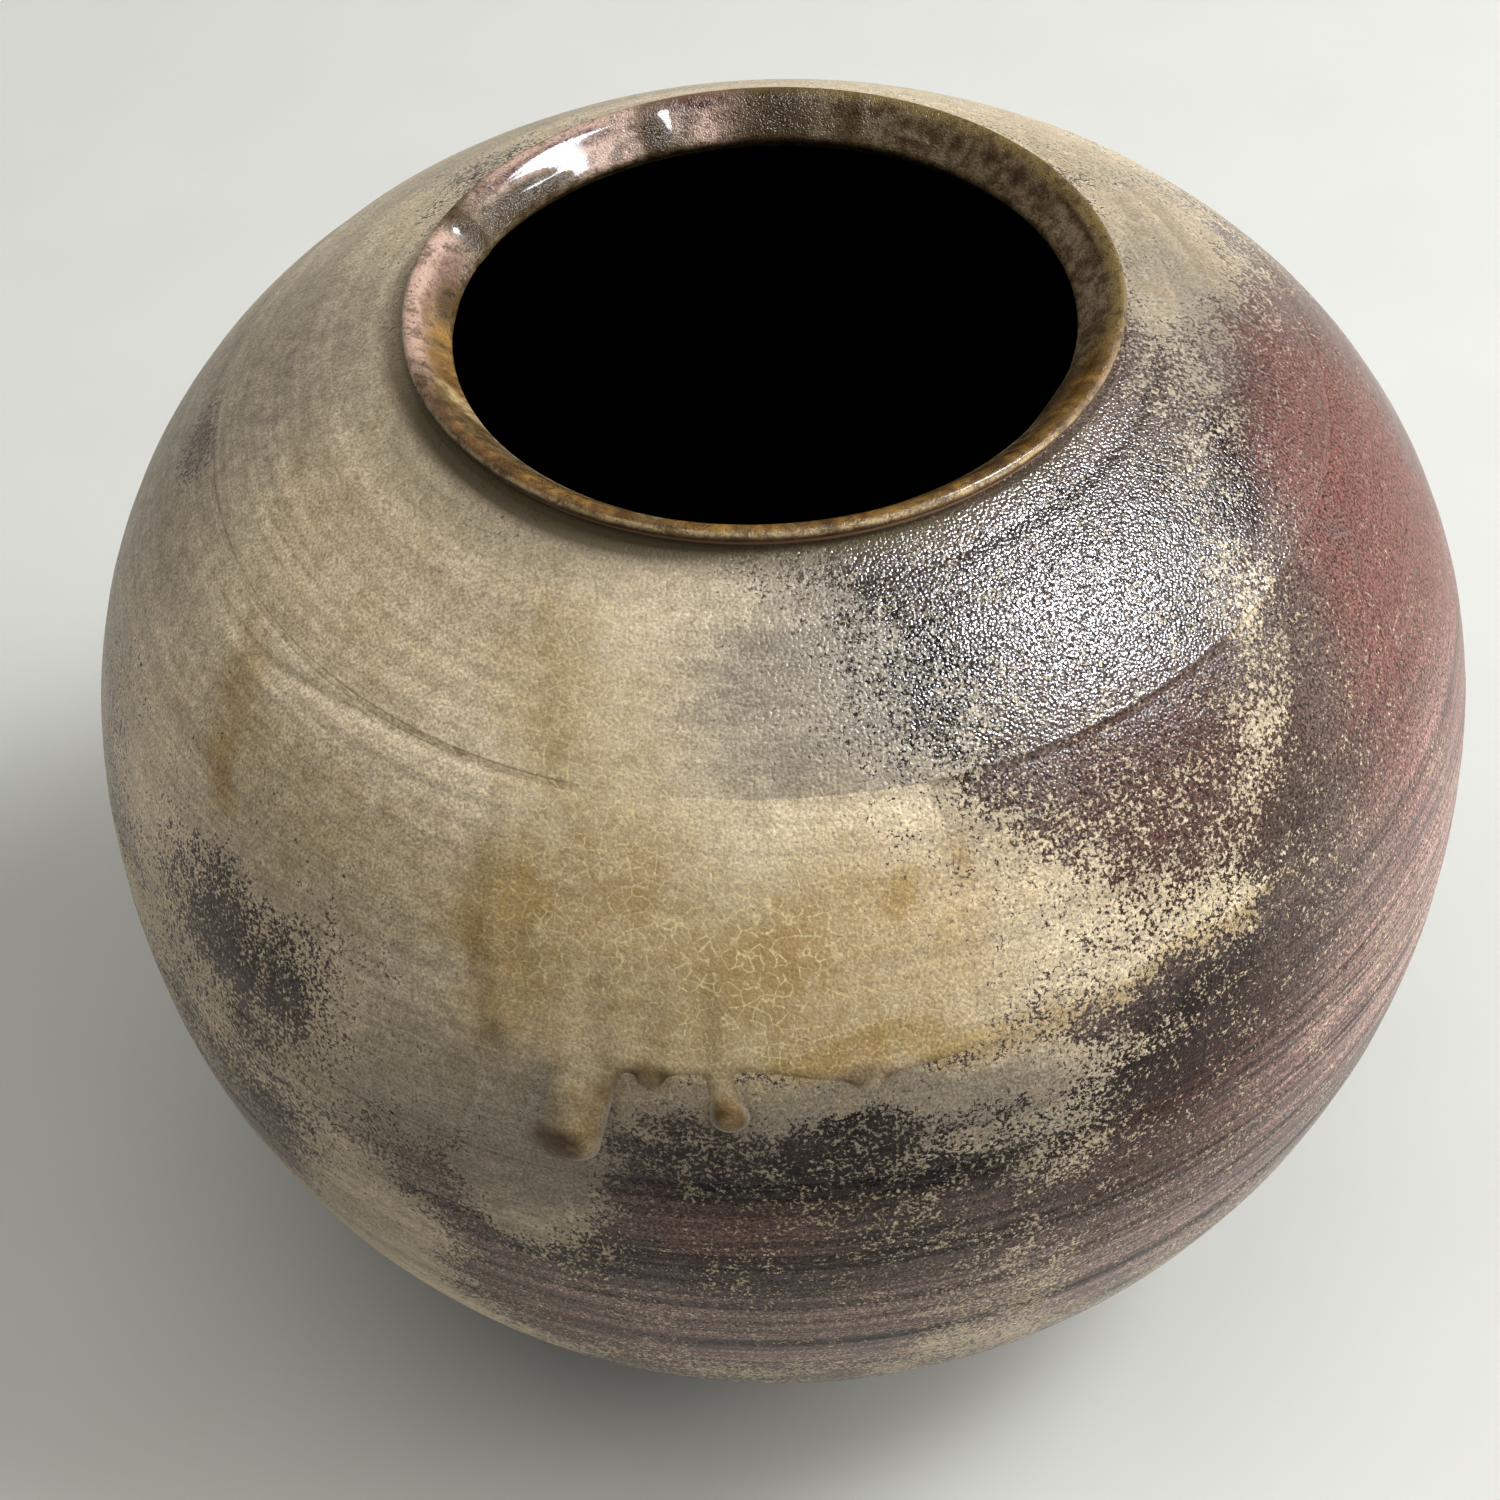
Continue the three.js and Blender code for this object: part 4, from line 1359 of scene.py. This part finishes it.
# %% [markdown]
# A soft window stands high on the right, which puts the shadow at the lower left, and a second, low one
# lights the red side. A very large, weak lamp overhead stands for a pale ceiling, another weak one at the
# right in front for a pale wall, and the world is a dim, warm grey, so the undersides of the jar stay
# darker than its shoulders. In a glossy skin large lamps lie as a grey veil over the colours, so the
# ceiling and the low window are kept out of reflections. The highlight on the shoulder could come from
# the window itself, but the clay would then be lit too strongly: a lamp just behind the window, which only
# reflections see, makes it alone.

# %% Light
LIT_PLACE = Vector((0, 0, 0.13))
WINDOW_SIDE = (0.6, -0.03, 0.8)
DAYLIGHT, GLINT_BLUE = (0.94, 0.97, 1.0), (0.90, 0.94, 1.0)
LOW_SKY, PALE_WALL = (1.0, 0.99, 0.97), (1.0, 0.99, 0.96)
ROOM_COLOUR, ROOM_STRENGTH = (1.0, 0.97, 0.88, 1), 0.11


def soft_lamp(name, direction, distance, size, power, colour):
    clear_selection()
    direction = Vector(direction).normalized()
    bpy.ops.object.light_add(type="AREA", location=LIT_PLACE + distance * direction)
    lamp = bpy.context.active_object
    lamp.name = name
    lamp.rotation_euler = direction.to_track_quat("Z", "Y").to_euler()
    lamp.data.size = size
    lamp.data.energy = power
    lamp.data.color = colour
    return lamp


soft_lamp("window", WINDOW_SIDE, distance=1.8, size=0.6, power=22.5, colour=DAYLIGHT)
glint = soft_lamp("window_glint", WINDOW_SIDE, distance=1.95, size=0.65, power=105, colour=GLINT_BLUE)
glint.visible_diffuse = False
low_window = soft_lamp("low_window", (0.96, 0.03, 0.26), distance=1.8, size=1.15, power=31, colour=LOW_SKY)
low_window.visible_glossy = False
ceiling = soft_lamp("ceiling", (-0.2, -0.05, 1.0), distance=2.0, size=2.0, power=19.5, colour=PALE_WALL)
ceiling.visible_glossy = False
soft_lamp("side", (0.75, -0.6, 0.25), distance=1.8, size=1.2, power=4, colour=PALE_WALL)

world = bpy.data.worlds.new("pale_room")
bpy.context.scene.world = world
world.use_nodes = True
room = world.node_tree.nodes["Background"]
room.inputs["Color"].default_value = ROOM_COLOUR
room.inputs["Strength"].default_value = ROOM_STRENGTH
bpy.context.scene.view_settings.view_transform = "Standard"

# %% [markdown]
# The camera looks down from the front at about 46 degrees, close enough for the lip to look larger than it
# is beside the belly, and it is tilted a little to one side, as a hand-held one is.

# %% Camera
ELEVATION = math.radians(46.03)
TILT = math.radians(-3.284)
DISTANCE = 550.93
AIM = Vector((-6.171, 0, BELLY_LEVEL - 12.663))
SENSOR_WIDTH, LENS = 36, 72
back = Vector((0, -math.cos(ELEVATION), math.sin(ELEVATION)))
level_right = Vector((1, 0, 0))
level_up = back.cross(level_right)
right = math.cos(TILT) * level_right + math.sin(TILT) * level_up
up = math.cos(TILT) * level_up - math.sin(TILT) * level_right

clear_selection()
bpy.ops.object.camera_add()
camera = bpy.context.active_object
camera.data.sensor_width = SENSOR_WIDTH
camera.data.lens = LENS
turned = Matrix((right, up, back)).transposed().to_4x4()
camera.matrix_world = Matrix.Translation((AIM + DISTANCE * back) * MM) @ turned
bpy.context.scene.camera = camera
print("camera at", [round(c, 3) for c in camera.location])
